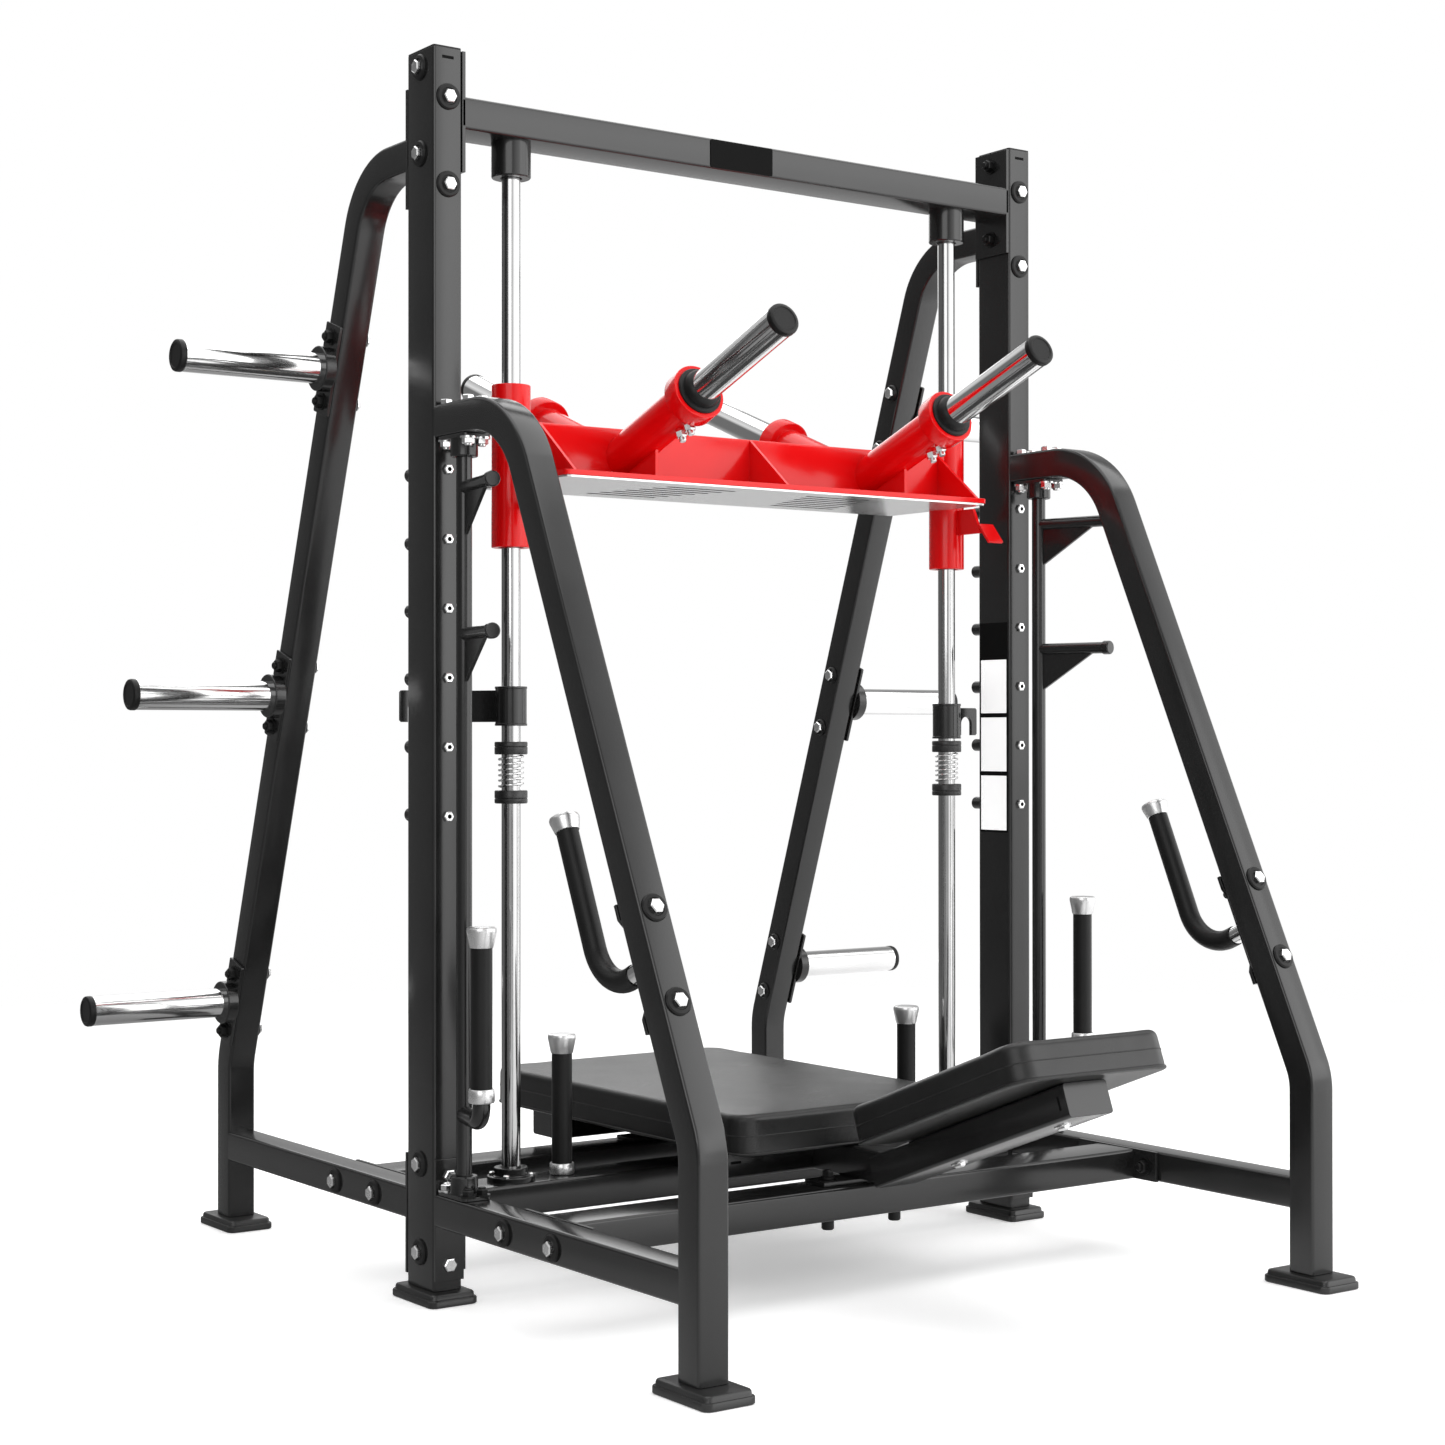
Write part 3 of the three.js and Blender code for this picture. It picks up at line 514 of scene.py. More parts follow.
for name, y in (("front_cross_beam", FRONT_BEAM_Y), ("rear_cross_beam", REAR_BEAM_Y)):
    beam = Shape()
    cross_beam(beam, y, BEAM_Z)
    end_plates(beam, (y - FLANGE / 2, y + FLANGE / 2), RAIL_Z)
    beam.finish(name + "_tube", "frame", "frame_paint", [name])
    for _, sign in SIDES:
        for dy in (-FLANGE_BOLT, FLANGE_BOLT):
            bolt((sign * POST_OUTER, y + dy, BEAM_BOLT_Z), (sign, 0, 0))
            nut((sign * (POST_INNER - PLATE - GAP), y + dy, BEAM_BOLT_Z), (-sign, 0, 0), "plastic")
        under = [(10, -1), (10, 19), (8.5, 21), (1, 21)]
        fixings("frame", "plastic").turned(under, (sign * PIN_X, y, BEAM_Z[0]), (0, 0, -1), sides=32)
        nut((sign * PIN_X, y, BEAM_Z[1] + 9), UP, "plastic", stud=2, radius=9)


# ---- legs -----------------------------------------------------------------------------------
FACE = DEEP / 2 + GAP
LEG_BOTTOM = FOOT_TOP + GAP
# (y, z) along the middle of each leg, with the radius of each bend
FRONT_LINE = ((-FACE, FRONT_ARM_Z), (-249, FRONT_ARM_Z, 150), (-LEG_Y, 328.6, 100), (-LEG_Y, LEG_BOTTOM))
REAR_LINE = ((FACE, REAR_ARM_Z), (203, REAR_ARM_Z, 125), (LEG_Y, 293, 120), (LEG_Y, LEG_BOTTOM))
LOW_FLANGE_Z = (36, 222)
HIGH_FLANGE_Z = (1685, 1871)


def leg(side, sign, end, line, flanges):
    """A bent tube, a level rail to the upright, and the flanges that bolt to the upright."""
    direction = 1 if end == "rear" else -1
    shape = Shape()
    route = [(sign * POST_X, y, z) for y, z in round_route(line)]
    shape.swept(rounded(TUBE / 2, TUBE / 2), route)
    x = sided(sign, POST_INNER, POST_OUTER)
    rail = sorted((direction * (FACE + 1), direction * (LEG_Y - TUBE / 2 + 4.5)))
    shape.bar(x, rail, RAIL_Z, Y)
    for z in flanges:
        shape.box((x[0] + 0.3, x[1] - 0.3), sorted((direction * FACE, direction * (FACE + PLATE))), z)
    shape.finish(f"{end}_leg_tube_{side}", "frame", "frame_paint", [f"{end}_leg_{side}"])


for side, sign in SIDES:
    leg(side, sign, "front", FRONT_LINE, [LOW_FLANGE_Z])
    leg(side, sign, "rear", REAR_LINE, [LOW_FLANGE_Z, HIGH_FLANGE_Z])


# ---- guide rods, bumpers and stoppers -------------------------------------------------------
def helix(shape, x, z0, z1, radius, wire, turns):
    """A spring wound round the rod, with its ends closed flat."""
    steps = turns * 32
    rings = []
    for i in range(steps + 1):
        t = i / steps
        angle = 2 * math.pi * turns * t
        height = z0 + (z1 - z0) * (t + 0.012 * math.sin(2 * math.pi * t))
        out = Vector((math.cos(angle), math.sin(angle), 0))
        centre = Vector((x, 0, height)) + out * radius
        rings.append([centre + out * u + UP * v for u, v in circle(wire, 10)])
    shape.loft(rings)


SEAT_BOTTOM, COIL_Z, RING_TOP = 761, (784.3, 835.7), 858
RIDGED_HEIGHT = 20.5
ARM_LINE = ((463, 14), (504, 91, 14), (530, 91))
ARM_HALF = 3.5
ARM_Z = (6, 56)
ARM_END = 598
SLOT_X, SLOT_HALF, SLOT_TOP = 573, 12.5, 40


def strip(line, half):
    """The (x, y) outline of a bent strip about a line."""
    route = round_route(line)
    right, left = [], []
    for i, point in enumerate(route):
        along = (route[min(i + 1, len(route) - 1)] - route[max(i - 1, 0)]).normalized()
        across = Vector((-along.y, along.x)) * half
        right.append(point - across)
        left.append(point + across)
    return right + left[::-1]


def bumper(side, x):
    """A rubber seat and a rubber ring with the spring between them."""
    ridged = [(16, 0), (25, 0), (26, 1.5), (26, 7), (25, 8), (26, 9), (26, 19),
              (25, RIDGED_HEIGHT), (16, RIDGED_HEIGHT)]
    seat = Shape()
    seat.turned([(r, SEAT_BOTTOM + z) for r, z in ridged], (x, 0, 0), hollow=True)
    seat.finish(f"bumper_cup_{side}", "frame", "rubber", [f"bumper_seat_{side}"], bevel=0.4)
    ring = Shape()
    ring.turned([(r, RING_TOP - z * 20 / RIDGED_HEIGHT) for r, z in ridged], (x, 0, 0), hollow=True)
    ring.finish(f"bumper_collar_{side}", f"bumper_{side}", "rubber", [f"bumper_ring_{side}"], bevel=0.4)
    coil = Shape()
    helix(coil, x, *COIL_Z, 18.5, 2, 6)
    spring = coil.finish(f"bumper_coil_{side}", "frame", "steel", [f"bumper_spring_{side}"], bevel=0)
    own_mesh(spring)


def stopper(side, sign):
    """A sleeve with a rim at each end, and its slotted arm bent behind the upright."""
    bottom = span(f"stopper_hook_{side}", Z)[0]
    shape = Shape()
    profile = [(21, 0.4), (25, 0), (25.5, 0.6), (25.5, 3.4), (24.7, 4), (24.7, 58), (25.5, 58.6),
               (25.5, 61.4), (25, 62), (21, 61.6)]
    shape.turned([(r, bottom + z) for r, z in profile], (sign * ROD_X, 0, 0), hollow=True, sides=64)
    low, high = bottom + ARM_Z[0], bottom + ARM_Z[1]
    plan = strip(ARM_LINE, ARM_HALF)
    shape.loft([[(sign * u, v, z) for u, v in plan] for z in (low, high)])
    crown = [(SLOT_X + SLOT_HALF * math.cos(a), bottom + SLOT_TOP - SLOT_HALF + SLOT_HALF * math.sin(a))
             for a in [math.pi * i / 16 for i in range(17)]]
    outline = ([(520, high), (520, low), (SLOT_X - SLOT_HALF, low)] + crown[::-1]
               + [(SLOT_X + SLOT_HALF, low), (ARM_END - 3, low), (ARM_END, low + 3),
                  (ARM_END, high - 3), (ARM_END - 3, high)])
    arm_y = ARM_LINE[-1][1]
    shape.loft([[(sign * u, y, v) for u, v in outline] for y in (arm_y - ARM_HALF, arm_y + ARM_HALF)])
    replaced = [f"stopper_hook_{side}"]
    shape.finish(f"stopper_{side}_sleeve", f"stopper_{side}", "frame_paint", replaced, bevel=0.8)


for side, sign in SIDES:
    x = sign * ROD_X
    rod = Shape()
    rod.turned([(ROD_RADIUS, ROD_Z[0]), (ROD_RADIUS, ROD_Z[1])], (x, 0, 0), sides=64)
    rod.finish(f"chrome_rod_{side}", "frame", "rod", [f"guide_rod_{side}"])
    bumper(side, x)
    stopper(side, sign)
    frame["nodes"][f"stopper_bush_{side}"].data.materials.clear()
    frame["nodes"][f"stopper_bush_{side}"].data.materials.append(MATERIALS["bronze"])


# ---- safety shafts, their bearings and grips ------------------------------------------------
SHAFT_Y = -92
SHAFT_RADIUS = 12
ARM_UNDER = FRONT_ARM_Z - TUBE / 2
REST_ANGLE = math.radians(13.5)
CRANK = 91
CRANK_Z = 295
SHAFT_PEG_Z = (1021, 1243)
STATIC_GRIP_X = 356


def shaft(side, sign):
    """A post with two pegs on webs and a crank below, turned a little outwards."""
    shape = Shape()
    shape.turned([(SHAFT_RADIUS, RAIL_Z[1] + PLATE + GAP), (SHAFT_RADIUS, ARM_UNDER - PLATE - GAP)])
    peg = [(10, 0), (10, 136), (12, 136.5), (12, 148), (10.5, 150)]
    for height in SHAFT_PEG_Z:
        shape.turned(peg, (0, 0, height), (0, -1, 0), sides=36)
        shape.sheet([(-8, height - 74), (-8, height - 5), (-120, height - 5)], (-3, 3))
    bend = round_route([(-4, CRANK_Z), (-CRANK, CRANK_Z, 25), (-CRANK, 330)])
    shape.swept(circle(13.5, 36), [(0, y, z) for y, z in bend])
    shape.moved(Matrix.Translation((sign * POST_X, SHAFT_Y, 0))
                @ Matrix.Rotation(sign * REST_ANGLE, 4, "Z"))
    body = f"safety_{side}"
    shape.finish(f"{body}_shaft", body, "frame_paint", [f"safety_shaft_{side}"], bevel=0.8)


def grip(name, body, at, z0, z1, ring, node_name):
    """A rubber grip from z0 up to z1, between a bright ring and a flared cap."""
    rubber = Shape()
    rubber.turned([(15, z0 + ring - 2), (16.3, z0 + ring - 1), (16.3, z1 - 30), (15, z1 - 29)], at)
    rubber.finish(name + "_rubber", body, "grip_rubber", [node_name], bevel=0.4)
    metal = Shape()
    foot_ring = [(17, 0), (18.8, 0.6), (20, 3), (19.4, ring - 1.5), (18.4, ring), (16, ring)]
    metal.turned([(r, z0 + z) for r, z in foot_ring], at)
    cap = [(16, 0), (17.2, 0.4), (18, 2), (22.4, 24), (22.5, 27), (21.6, 29.6), (19.6, 31), (14, 31.4),
           (2, 31.6)]
    metal.turned([(r, z1 - 31.6 + z) for r, z in cap], at)
    metal.finish(name + "_fittings", body, "satin_metal", bevel=0)


def bearing(side, sign, name, seat, direction):
    shape = Shape()
    x = sign * POST_X
    z = sorted((seat + direction * GAP, seat + direction * PLATE))
    shape.bar((x - 24, x + 24), (SHAFT_Y - 42, SHAFT_Y + 42), z, Z, 8)
    boss = [(13, PLATE - 1), (22, PLATE - 1), (21, PLATE + 2), (21, 31), (19.5, 33), (14, 33), (13, 32)]
    shape.turned(boss, (x, SHAFT_Y, seat), (0, 0, direction), hollow=True)
    replaced = [f"shaft_{name}_bearing_{side}"]
    shape.finish(f"shaft_{name}_block_{side}", "frame", "frame_paint", replaced, bevel=1)
    for dx in (-12, 12):
        for dy in (-33, 33):
            at = (x + dx, SHAFT_Y + dy, seat + direction * PLATE)
            hidden = name == "bottom" and dy < 0
            nut(at, (0, 0, direction), "plastic" if hidden else "steel", stud=3, radius=9.5, height=9)
            if name == "top":
                above = (x + dx, SHAFT_Y + dy, FRONT_ARM_Z + TUBE / 2 - 0.5)
                hexagon(fixings("frame", "steel"), above, UP, 9.5, 8)


for side, sign in SIDES:
    shaft(side, sign)
    at = (sign * (POST_X + CRANK * math.sin(REST_ANGLE)), SHAFT_Y - CRANK * math.cos(REST_ANGLE), 0)
    grip(f"safety_{side}", f"safety_{side}", at, 324.3, 585, 21, f"safety_grip_{side}")
    at = (sign * STATIC_GRIP_X, 0, 0)
    grip(f"bench_{side}", "frame", at, BEAM_Z[1] + GAP, 393, 18, f"bench_grip_{side}")
    bearing(side, sign, "bottom", RAIL_Z[1], 1)
    bearing(side, sign, "top", ARM_UNDER, -1)


# ---- pull handles ---------------------------------------------------------------------------
HANDLE_ROOT = Vector((-585.1, 552.3))
HANDLE_BEND = (-486.6, 505.9, 70)
HANDLE_END = (-385.6, 731)


def pull_handle(side, sign):
    x = sign * POST_X
    end, waist = FLANGE / 2, 18
    corner = [(waist, 0), (waist, end - 34), (TUBE / 2, end - 22), (TUBE / 2, end)]
    right = [(u, -v) for u, v in corner[::-1]] + corner[1:]
    outline = right + [(-u, v) for u, v in right[::-1]]
    plate = Shape()
    plate.loft([[(u, y, v) for u, v in outline] for y in (-PLATE / 2, PLATE / 2)])
    plate.moved(Matrix.Translation((x, *HANDLE_ROOT)) @ Matrix.Rotation(-FRONT_SLOPE, 4, "X"))
    plate.finish(f"handle_plate_{side}", "frame", "frame_paint", bevel=0.8)
    start = HANDLE_ROOT + (Vector(HANDLE_BEND[:2]) - HANDLE_ROOT).normalized() * 27
    tube = Shape()
    route = round_route([tuple(start), HANDLE_BEND, HANDLE_END])
    tube.swept(circle(16.3, 40), [(x, y, z) for y, z in route])
    tube.finish(f"handle_tube_{side}", "frame", "grip_rubber", [f"pull_handle_{side}"], bevel=0.5)
    stub = Shape()
    stub.swept(circle(14.6, 40), [(x, *HANDLE_ROOT), (x, *start), (x, *(start * 1.1 - HANDLE_ROOT * 0.1))])
    stub.finish(f"handle_stub_{side}", "frame", "chrome", bevel=0)
    up = Vector((0, math.sin(FRONT_SLOPE), math.cos(FRONT_SLOPE)))
    cap = Shape()
    cap.turned([(16.6, 0), (17.8, 0.6), (22, 17), (22.2, 20), (21, 22.8), (18.8, 24), (2, 24.4)],
               (x, *HANDLE_END), up)
    cap.finish(f"handle_cap_{side}", "frame", "satin_metal", bevel=0)
    normal = Vector((0, -math.cos(FRONT_SLOPE), math.sin(FRONT_SLOPE)))
    for along in (-FLANGE_BOLT, FLANGE_BOLT):
        centre = Vector((x, *HANDLE_ROOT)) + up * along
        bolt(centre + normal * (PLATE / 2 + GAP + TUBE), normal)
        nut(centre - normal * PLATE / 2, -normal, "plastic")


for side, sign in SIDES:
    pull_handle(side, sign)


# ---- plate storage horns --------------------------------------------------------------------
HORN_RADIUS = 25
STORAGE_PLACES = ((306, 1467), (492, 935), (679, 401))


def chrome_horn(name, body, at, along, start, end, replaces):
    """A chrome sleeve with a black plastic cap at its tip."""
    tube = Shape()
    tube.turned([(HORN_RADIUS, start), (HORN_RADIUS, end - 10)], at, along, sides=64)
    tube.finish(name + "_sleeve", body, "chrome", replaces, bevel=0.5)
    cap = Shape()
    profile = [(24, -11), (25.4, -11), (25.8, -10), (25.8, -4), (25, -1.6), (22.5, 0), (19.5, 0),
               (18.5, -1.2), (2, -1.2)]
    cap.turned([(r, end + z) for r, z in profile], at, along, sides=56)
    cap.finish(name + "_cap", body, "plastic", bevel=0)


def storage_horn(side, sign, index, y, z):
    tip = abs(span(f"storage_horn_{side}_{index}", X)[sign > 0])
    slope = math.pi / 2 - REAR_SLOPE
    down = Vector((0, math.cos(slope), -math.sin(slope)))
    root = Shape()
    root.bar((POST_OUTER + GAP, POST_OUTER + PLATE), (-TUBE / 2, TUBE / 2), (-75, 75), X, 3)
    root.moved(Matrix.Diagonal((sign, 1, 1, 1)) @ Matrix.Translation((0, y, z))
               @ Matrix.Rotation(REAR_SLOPE, 4, "X"))
    bmesh.ops.recalc_face_normals(root.mesh, faces=root.mesh.faces)
    neck = POST_OUTER + PLATE
    collar = [(37, neck - 1), (37, neck + 16.5), (35.5, neck + 18), (20, neck + 18)]
    root.turned(collar, (0, y, z), (sign, 0, 0))
    root.finish(f"storage_{side}_{index}_flange", "frame", "frame_paint", bevel=1)
    chrome_horn(f"storage_{side}_{index}", "frame", (0, y, z), (sign, 0, 0), neck + 17, tip,
                [f"storage_horn_{side}_{index}"])
    for along in (-54, 54):
        centre = Vector((0, y, z)) + down * along
        nut(centre + Vector((sign * neck, 0, 0)), (sign, 0, 0), "plastic", stud=4)
        bolt(centre + Vector((sign * POST_INNER, 0, 0)), (-sign, 0, 0), cap=16)


for side, sign in SIDES:
    for index, (y, z) in enumerate(STORAGE_PLACES, 1):
        storage_horn(side, sign, index, y, z)


# ---- press carriage -------------------------------------------------------------------------
DECK_Z = (1270, 1278.3)
DECK_HALF_X, DECK_HALF_Y = 430, 132
CARRIAGE_TOP = 1362
SLEEVE_Z = (1163, 1419)
HORN_X = 255
HORN_ROOT = 1308
HORN_TILT = math.radians(20.8)
SOCKET_END = 255
LOAD_HORN_END = 491
SOCKET_BOLTS = (188, 212)
GUSSET_X = (-411, 0, 411)
LUG_BOTTOM = 1222


def carriage():
    """The deck with the beam and the gussets on it, and the two sleeves on the rods."""
    deck = Shape()
    deck.bar((-DECK_HALF_X, DECK_HALF_X), (-DECK_HALF_Y, DECK_HALF_Y), DECK_Z, Z, 8)
    deck.bar((-424, 424), (-25, 25), (DECK_Z[0] + 1, CARRIAGE_TOP), X, 4)
    for direction in (-1, 1):
        near, foot_z = direction * 24, DECK_Z[1] - 1
        gusset = [(near, foot_z), (direction * (DECK_HALF_Y - 2), foot_z), (near, CARRIAGE_TOP - 1)]
        for x in GUSSET_X:
            deck.sheet(gusset, (x - 3, x + 3))
        far = direction * 122
        cradle = [(near, foot_z), (far, foot_z), (far, 1321), (near, 1285)]
        for x in (-HORN_X, HORN_X):
            deck.sheet(cradle, (x - 3, x + 3))
    deck.finish("carriage_deck", "carriage", "carriage_paint", ["carriage_frame"], bevel=0.8)
    tubes = Shape()
    low, high = SLEEVE_Z
    sleeve = [(20.4, low + 0.5), (30, low), (31, low + 1), (31, high - 1), (30, high), (20.4, high - 0.5)]
    for _, sign in SIDES:
        tubes.turned(sleeve, (sign * ROD_X, 0, 0), hollow=True, sides=64)
    tubes.finish("carriage_sleeves", "carriage", "carriage_paint", bevel=0.4)


def load_horn(side, sign, end, direction):
    """A red socket with two bolt lugs, a black ring and the chrome sleeve for the plates."""
    at = (sign * HORN_X, 0, HORN_ROOT)
    along = Vector((0, direction * math.cos(HORN_TILT), math.sin(HORN_TILT)))
    socket = Shape()
    socket.turned([(32.5, 5), (32.5, 223), (44, 224), (45, 225.5), (45, SOCKET_END - 1), (44, SOCKET_END),
                   (26, SOCKET_END)], at, along, sides=64)
    for t in SOCKET_BOLTS:
        lug = Vector(at) + along * t
        across = along.cross(Vector((1, 0, 0))).normalized()
        under = -across if across.z > 0 else across
        socket.turned([(8, 28), (8, 37)], lug, under, sides=24)
        heads = fixings("carriage", "steel")
        hexagon(heads, lug + under * 37, under, 9.5, 9)
        heads.turned([(5.5, 45), (5.5, 52), (4.5, 53)], lug, under, sides=20)
    socket.finish(f"load_{end}_{side}_socket", "carriage", "carriage_paint", bevel=0.6)
    ring = Shape()
    profile = [(38, -2), (38, 3), (36.5, 5), (32, 5.5), (31.5, 7), (31, 13), (28, 19), (25.2, 21)]
    ring.turned([(r, SOCKET_END + z) for r, z in profile], at, along, sides=56)
    ring.finish(f"load_{end}_{side}_ring", "carriage", "plastic", bevel=0)
    chrome_horn(f"load_{end}_{side}", "carriage", at, along, SOCKET_END + 10, LOAD_HORN_END,
                [f"load_horn_{end}_{side}"])


def catch_lug(side, sign):
    """A bracket under the deck with a tab that lands on a safety peg."""
    top = DECK_Z[0] - 4
    shape = Shape()
    shape.sheet([(-31, top), (-74, top), (-94, LUG_BOTTOM), (-31, LUG_BOTTOM)], (-3, 3))
    tab = Shape()
    tab.box((-3, 30), (-2.5, 2.5), (-18, 24))
    tab.moved(Matrix.Translation((0, -104, 1219)) @ Matrix.Rotation(math.radians(-40), 4, "X"))
    shape.added(tab)
    shape.moved(Matrix.Translation((sign * ROD_X, 0, 0)) @ Matrix.Diagonal((sign, 1, 1, 1)))
    bmesh.ops.recalc_face_normals(shape.mesh, faces=shape.mesh.faces)
    shape.finish(f"catch_{side}", "carriage", "carriage_paint", [f"catch_lug_{side}"], bevel=0.6)


carriage()
for side, sign in SIDES:
    catch_lug(side, sign)
    for end, direction in (("front", -1), ("rear", 1)):
        load_horn(side, sign, end, direction)
    bush = frame["nodes"][f"carriage_bush_{side}"]
    bush.data.materials.clear()
    bush.data.materials.append(MATERIALS["bronze"])
tread = frame["nodes"]["tread_plate"]
tread.data.materials.clear()
tread.data.materials.append(MATERIALS["tread"])
# Dark boxes under the deck: painted shade for the slots in the tread sheet.
for _, sign in SIDES:
    for row in range(-3, 4):
        slot_x = sided(sign, 98.2 + 8 * row, 231.8 + 8 * row)
        slot_y = (27 * row - 3.3, 27 * row + 3.3)
        fixings("carriage", "dark").box(slot_x, slot_y, (DECK_Z[0] - 3.5, DECK_Z[0] - 0.3))


# ---- bench ----------------------------------------------------------------------------------
PAD_Z = (225.3, 290)
PAD_HALF_X = 240
PAD_Y = (-324, 419)
HEAD_HALF_X = 150
HEAD_TILT = math.radians(20.5)
HEAD_THICK = 60
HEAD_LENGTH = 401
HEAD_START = (0, -458, 308.5)
PAD_CORNER, HEAD_CORNER = 36, 35
TUBES_Z = (175, 225)
MOST_SWELLING = 4
# x across, y up the headrest from its low end, z out of its top surface
SLOPE = (Matrix.Translation(HEAD_START) @ Matrix.Rotation(-HEAD_TILT, 4, "X")
         @ Matrix.Rotation(math.pi, 4, "Z"))


def bench():
    """A spine on three plates, two tubes across it under the pad, and the headrest's prop."""
    shape = Shape()
    shape.bar((-TUBE / 2, TUBE / 2), (-400, 345), TUBES_Z, Y)
    for y in ((-226, -142), (261, 345)):
        shape.bar((-200, 200), y, TUBES_Z, X)
    for y in (FRONT_BEAM_Y, REAR_BEAM_Y, 0):
        shape.box((-FLANGE / 2, FLANGE / 2), (y - 25, y + 25), (BEAM_Z[1] + GAP, TUBES_Z[0] + 1))
    prop = Shape()
    prop.bar((-DEEP / 2, DEEP / 2), (-98, HEAD_LENGTH - 37), (-HEAD_THICK - TUBE, -HEAD_THICK - GAP), Y)
    shape.added(prop.moved(SLOPE))
    shape.finish("bench_tubes", "frame", "frame_paint", ["bench_frame"])
    out = SLOPE.to_3x3() @ Vector((0, 0, -1))
    for along in (60, 300):
        at = SLOPE @ Vector((0, along, -HEAD_THICK - TUBE))
        hexagon(fixings("frame", "steel"), at, out, 9, 6)
        fixings("frame", "steel").turned([(13, -0.5), (13, 1.5), (1, 1.5)], at, out, sides=32)
    # Dark boxes: painted shade for a slot in the front cross tube and a notch in the headrest's prop.
    painted_slit_shade((-187, -167), (-226.3, -225), (198, 202))
    painted_notch_shade = Shape()
    painted_notch_shade.box((DEEP / 2 - 1, DEEP / 2 + 0.3), (HEAD_LENGTH - 55, HEAD_LENGTH - 51), (-96, -76))
    fixings("frame", "dark").added(painted_notch_shade.moved(SLOPE))


def outline_at(half_x, half_y, radius, inset, height):
    outline = rounded(half_x - inset, half_y - inset, max(radius - inset, 4), 10)
    return [(u, half_y + v, height) for u, v in outline]


def swollen(data, foot, most):
    """Cloth held at its foot and filled by pressure; its longest move is brought down to most."""
    scene = bpy.context.scene
    skin = bpy.data.objects.new("skin", data)
    scene.collection.objects.link(skin)
    bpy.context.view_layer.objects.active = skin
    skin.select_set(True)
    data.remesh_voxel_size = 0.0055
    bpy.ops.object.voxel_remesh()
    held = skin.vertex_groups.new(name="held")
    held.add([vertex.index for vertex in data.vertices if vertex.co.z < foot], 1, "REPLACE")
    cloth = skin.modifiers.new("cloth", "CLOTH")
    cloth.settings.vertex_group_mass = "held"
    cloth.settings.use_pressure = True
    cloth.settings.uniform_pressure_force = 4
    cloth.settings.effector_weights.gravity = 0
    cloth.point_cache.frame_start, cloth.point_cache.frame_end = 1, 20
    for at in range(1, 21):
        scene.frame_set(at)
    filled = bpy.data.meshes.new_from_object(skin.evaluated_get(bpy.context.evaluated_depsgraph_get()))
    moves = [after.co - before.co for before, after in zip(data.vertices, filled.vertices)]
    share = min(1, most / max(move.length for move in moves))
    for vertex, before, move in zip(filled.vertices, data.vertices, moves):
        vertex.co = before.co + move * share
    bpy.data.objects.remove(skin)
    scene.frame_set(1)
    return filled


def cord(shape, points, radius):
    """A thin round cord through a closed loop of points."""
    rings = []
    for i, point in enumerate(points):
        along = (points[(i + 1) % len(points)] - points[i - 1]).normalized()
        out = along.cross(UP).normalized()
        rings.append([point + out * u + UP * v for u, v in circle(radius, 10)])
    shape.loft(rings, closed=True)


def finely(points, step=8):
    """A closed loop of points no further apart than a step."""
    fine = []
    for i, point in enumerate(points):
        start, end = Vector(point), Vector(points[(i + 1) % len(points)])
        count = max(1, math.ceil((end - start).length / step))
        fine += [start.lerp(end, k / count) for k in range(count)]
    return fine


def pad(name, node_name, half_x, length, thick, radius, where):
    """A firm upholstered pad: cloth puffed by pressure, a seam round its side and a welt round its foot.
    It is built with its top at z = 0 and one end at y = 0, and then put in place."""
    block = Shape()
    levels = ((6, 0), (2, 1.5), (1, 5), (1, thick - 9), (3.5, thick - 4), (8, thick - 1.4), (12, thick - 1))
    block.loft([outline_at(half_x, length / 2, radius, inset, z - thick) for inset, z in levels])
    block.moved(Matrix.Scale(MM, 4))
    data = bpy.data.meshes.new(name)
    block.mesh.to_mesh(data)
    block.mesh.free()
    data = swollen(data, (2 - thick) * MM, MOST_SWELLING * MM)
    tree = BVHTree.FromPolygons([v.co / MM for v in data.vertices], [p.vertices for p in data.polygons])
    trim = Shape()
    for height, inset, thickness in ((3.2 - thick, -0.5, 2.4), (-thick * 0.52, 0, 0.9)):
        loop = finely(outline_at(half_x, length / 2, radius, 0, height))
        found = [tree.find_nearest(point)[0] for point in loop]
        cord(trim, [Vector((p.x, p.y, height)) for p in found], thickness)
    trim.moved(where)
    trim.finish(name + "_welt", "frame", "vinyl", bevel=0)
    data.transform(ORIGIN @ where @ Matrix.Scale(1 / MM, 4))
    data.shade_smooth()
    data.materials.clear()
    data.materials.append(MATERIALS["vinyl"])
    made = bpy.data.objects.new(name, data)
    bpy.context.scene.collection.objects.link(made)
    made.modifiers.new("smooth", "SUBSURF").levels = 1
    made.modifiers["smooth"].render_levels = 1
    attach(made, "frame")
    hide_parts(node_name)


bench()
flat_place = Matrix.Translation((0, PAD_Y[0], PAD_Z[1]))
pad("bench_cushion", "flat_pad", PAD_HALF_X, PAD_Y[1] - PAD_Y[0], PAD_Z[1] - PAD_Z[0], PAD_CORNER,
    flat_place)
pad("head_cushion", "head_pad", HEAD_HALF_X, HEAD_LENGTH, HEAD_THICK, HEAD_CORNER, SLOPE)


# ---- bolts, badge and label -----------------------------------------------------------------
LABEL_Z = (693, 1071)
PANELS_Z = ((908, 1004), (803, 900), (697, 795))
LABEL_FACE = POST_INNER - 0.3
BADGE_X = (-95, 32)


def label():
    """A plain label on the right upright: a black header over three blank white panels, which glow with
    painted light.
    """
    back = Shape()
    back.box((LABEL_FACE, POST_INNER + 0.5), (-37, 37), LABEL_Z)
    back.finish("label_back", "frame", "dark", bevel=0)
    panels = Shape()
    for panel_z in PANELS_Z:
        panels.box((LABEL_FACE - 0.2, LABEL_FACE + 0.2), (-34, 34), panel_z)
    panels.finish("label_panels", "frame", "label", bevel=0)


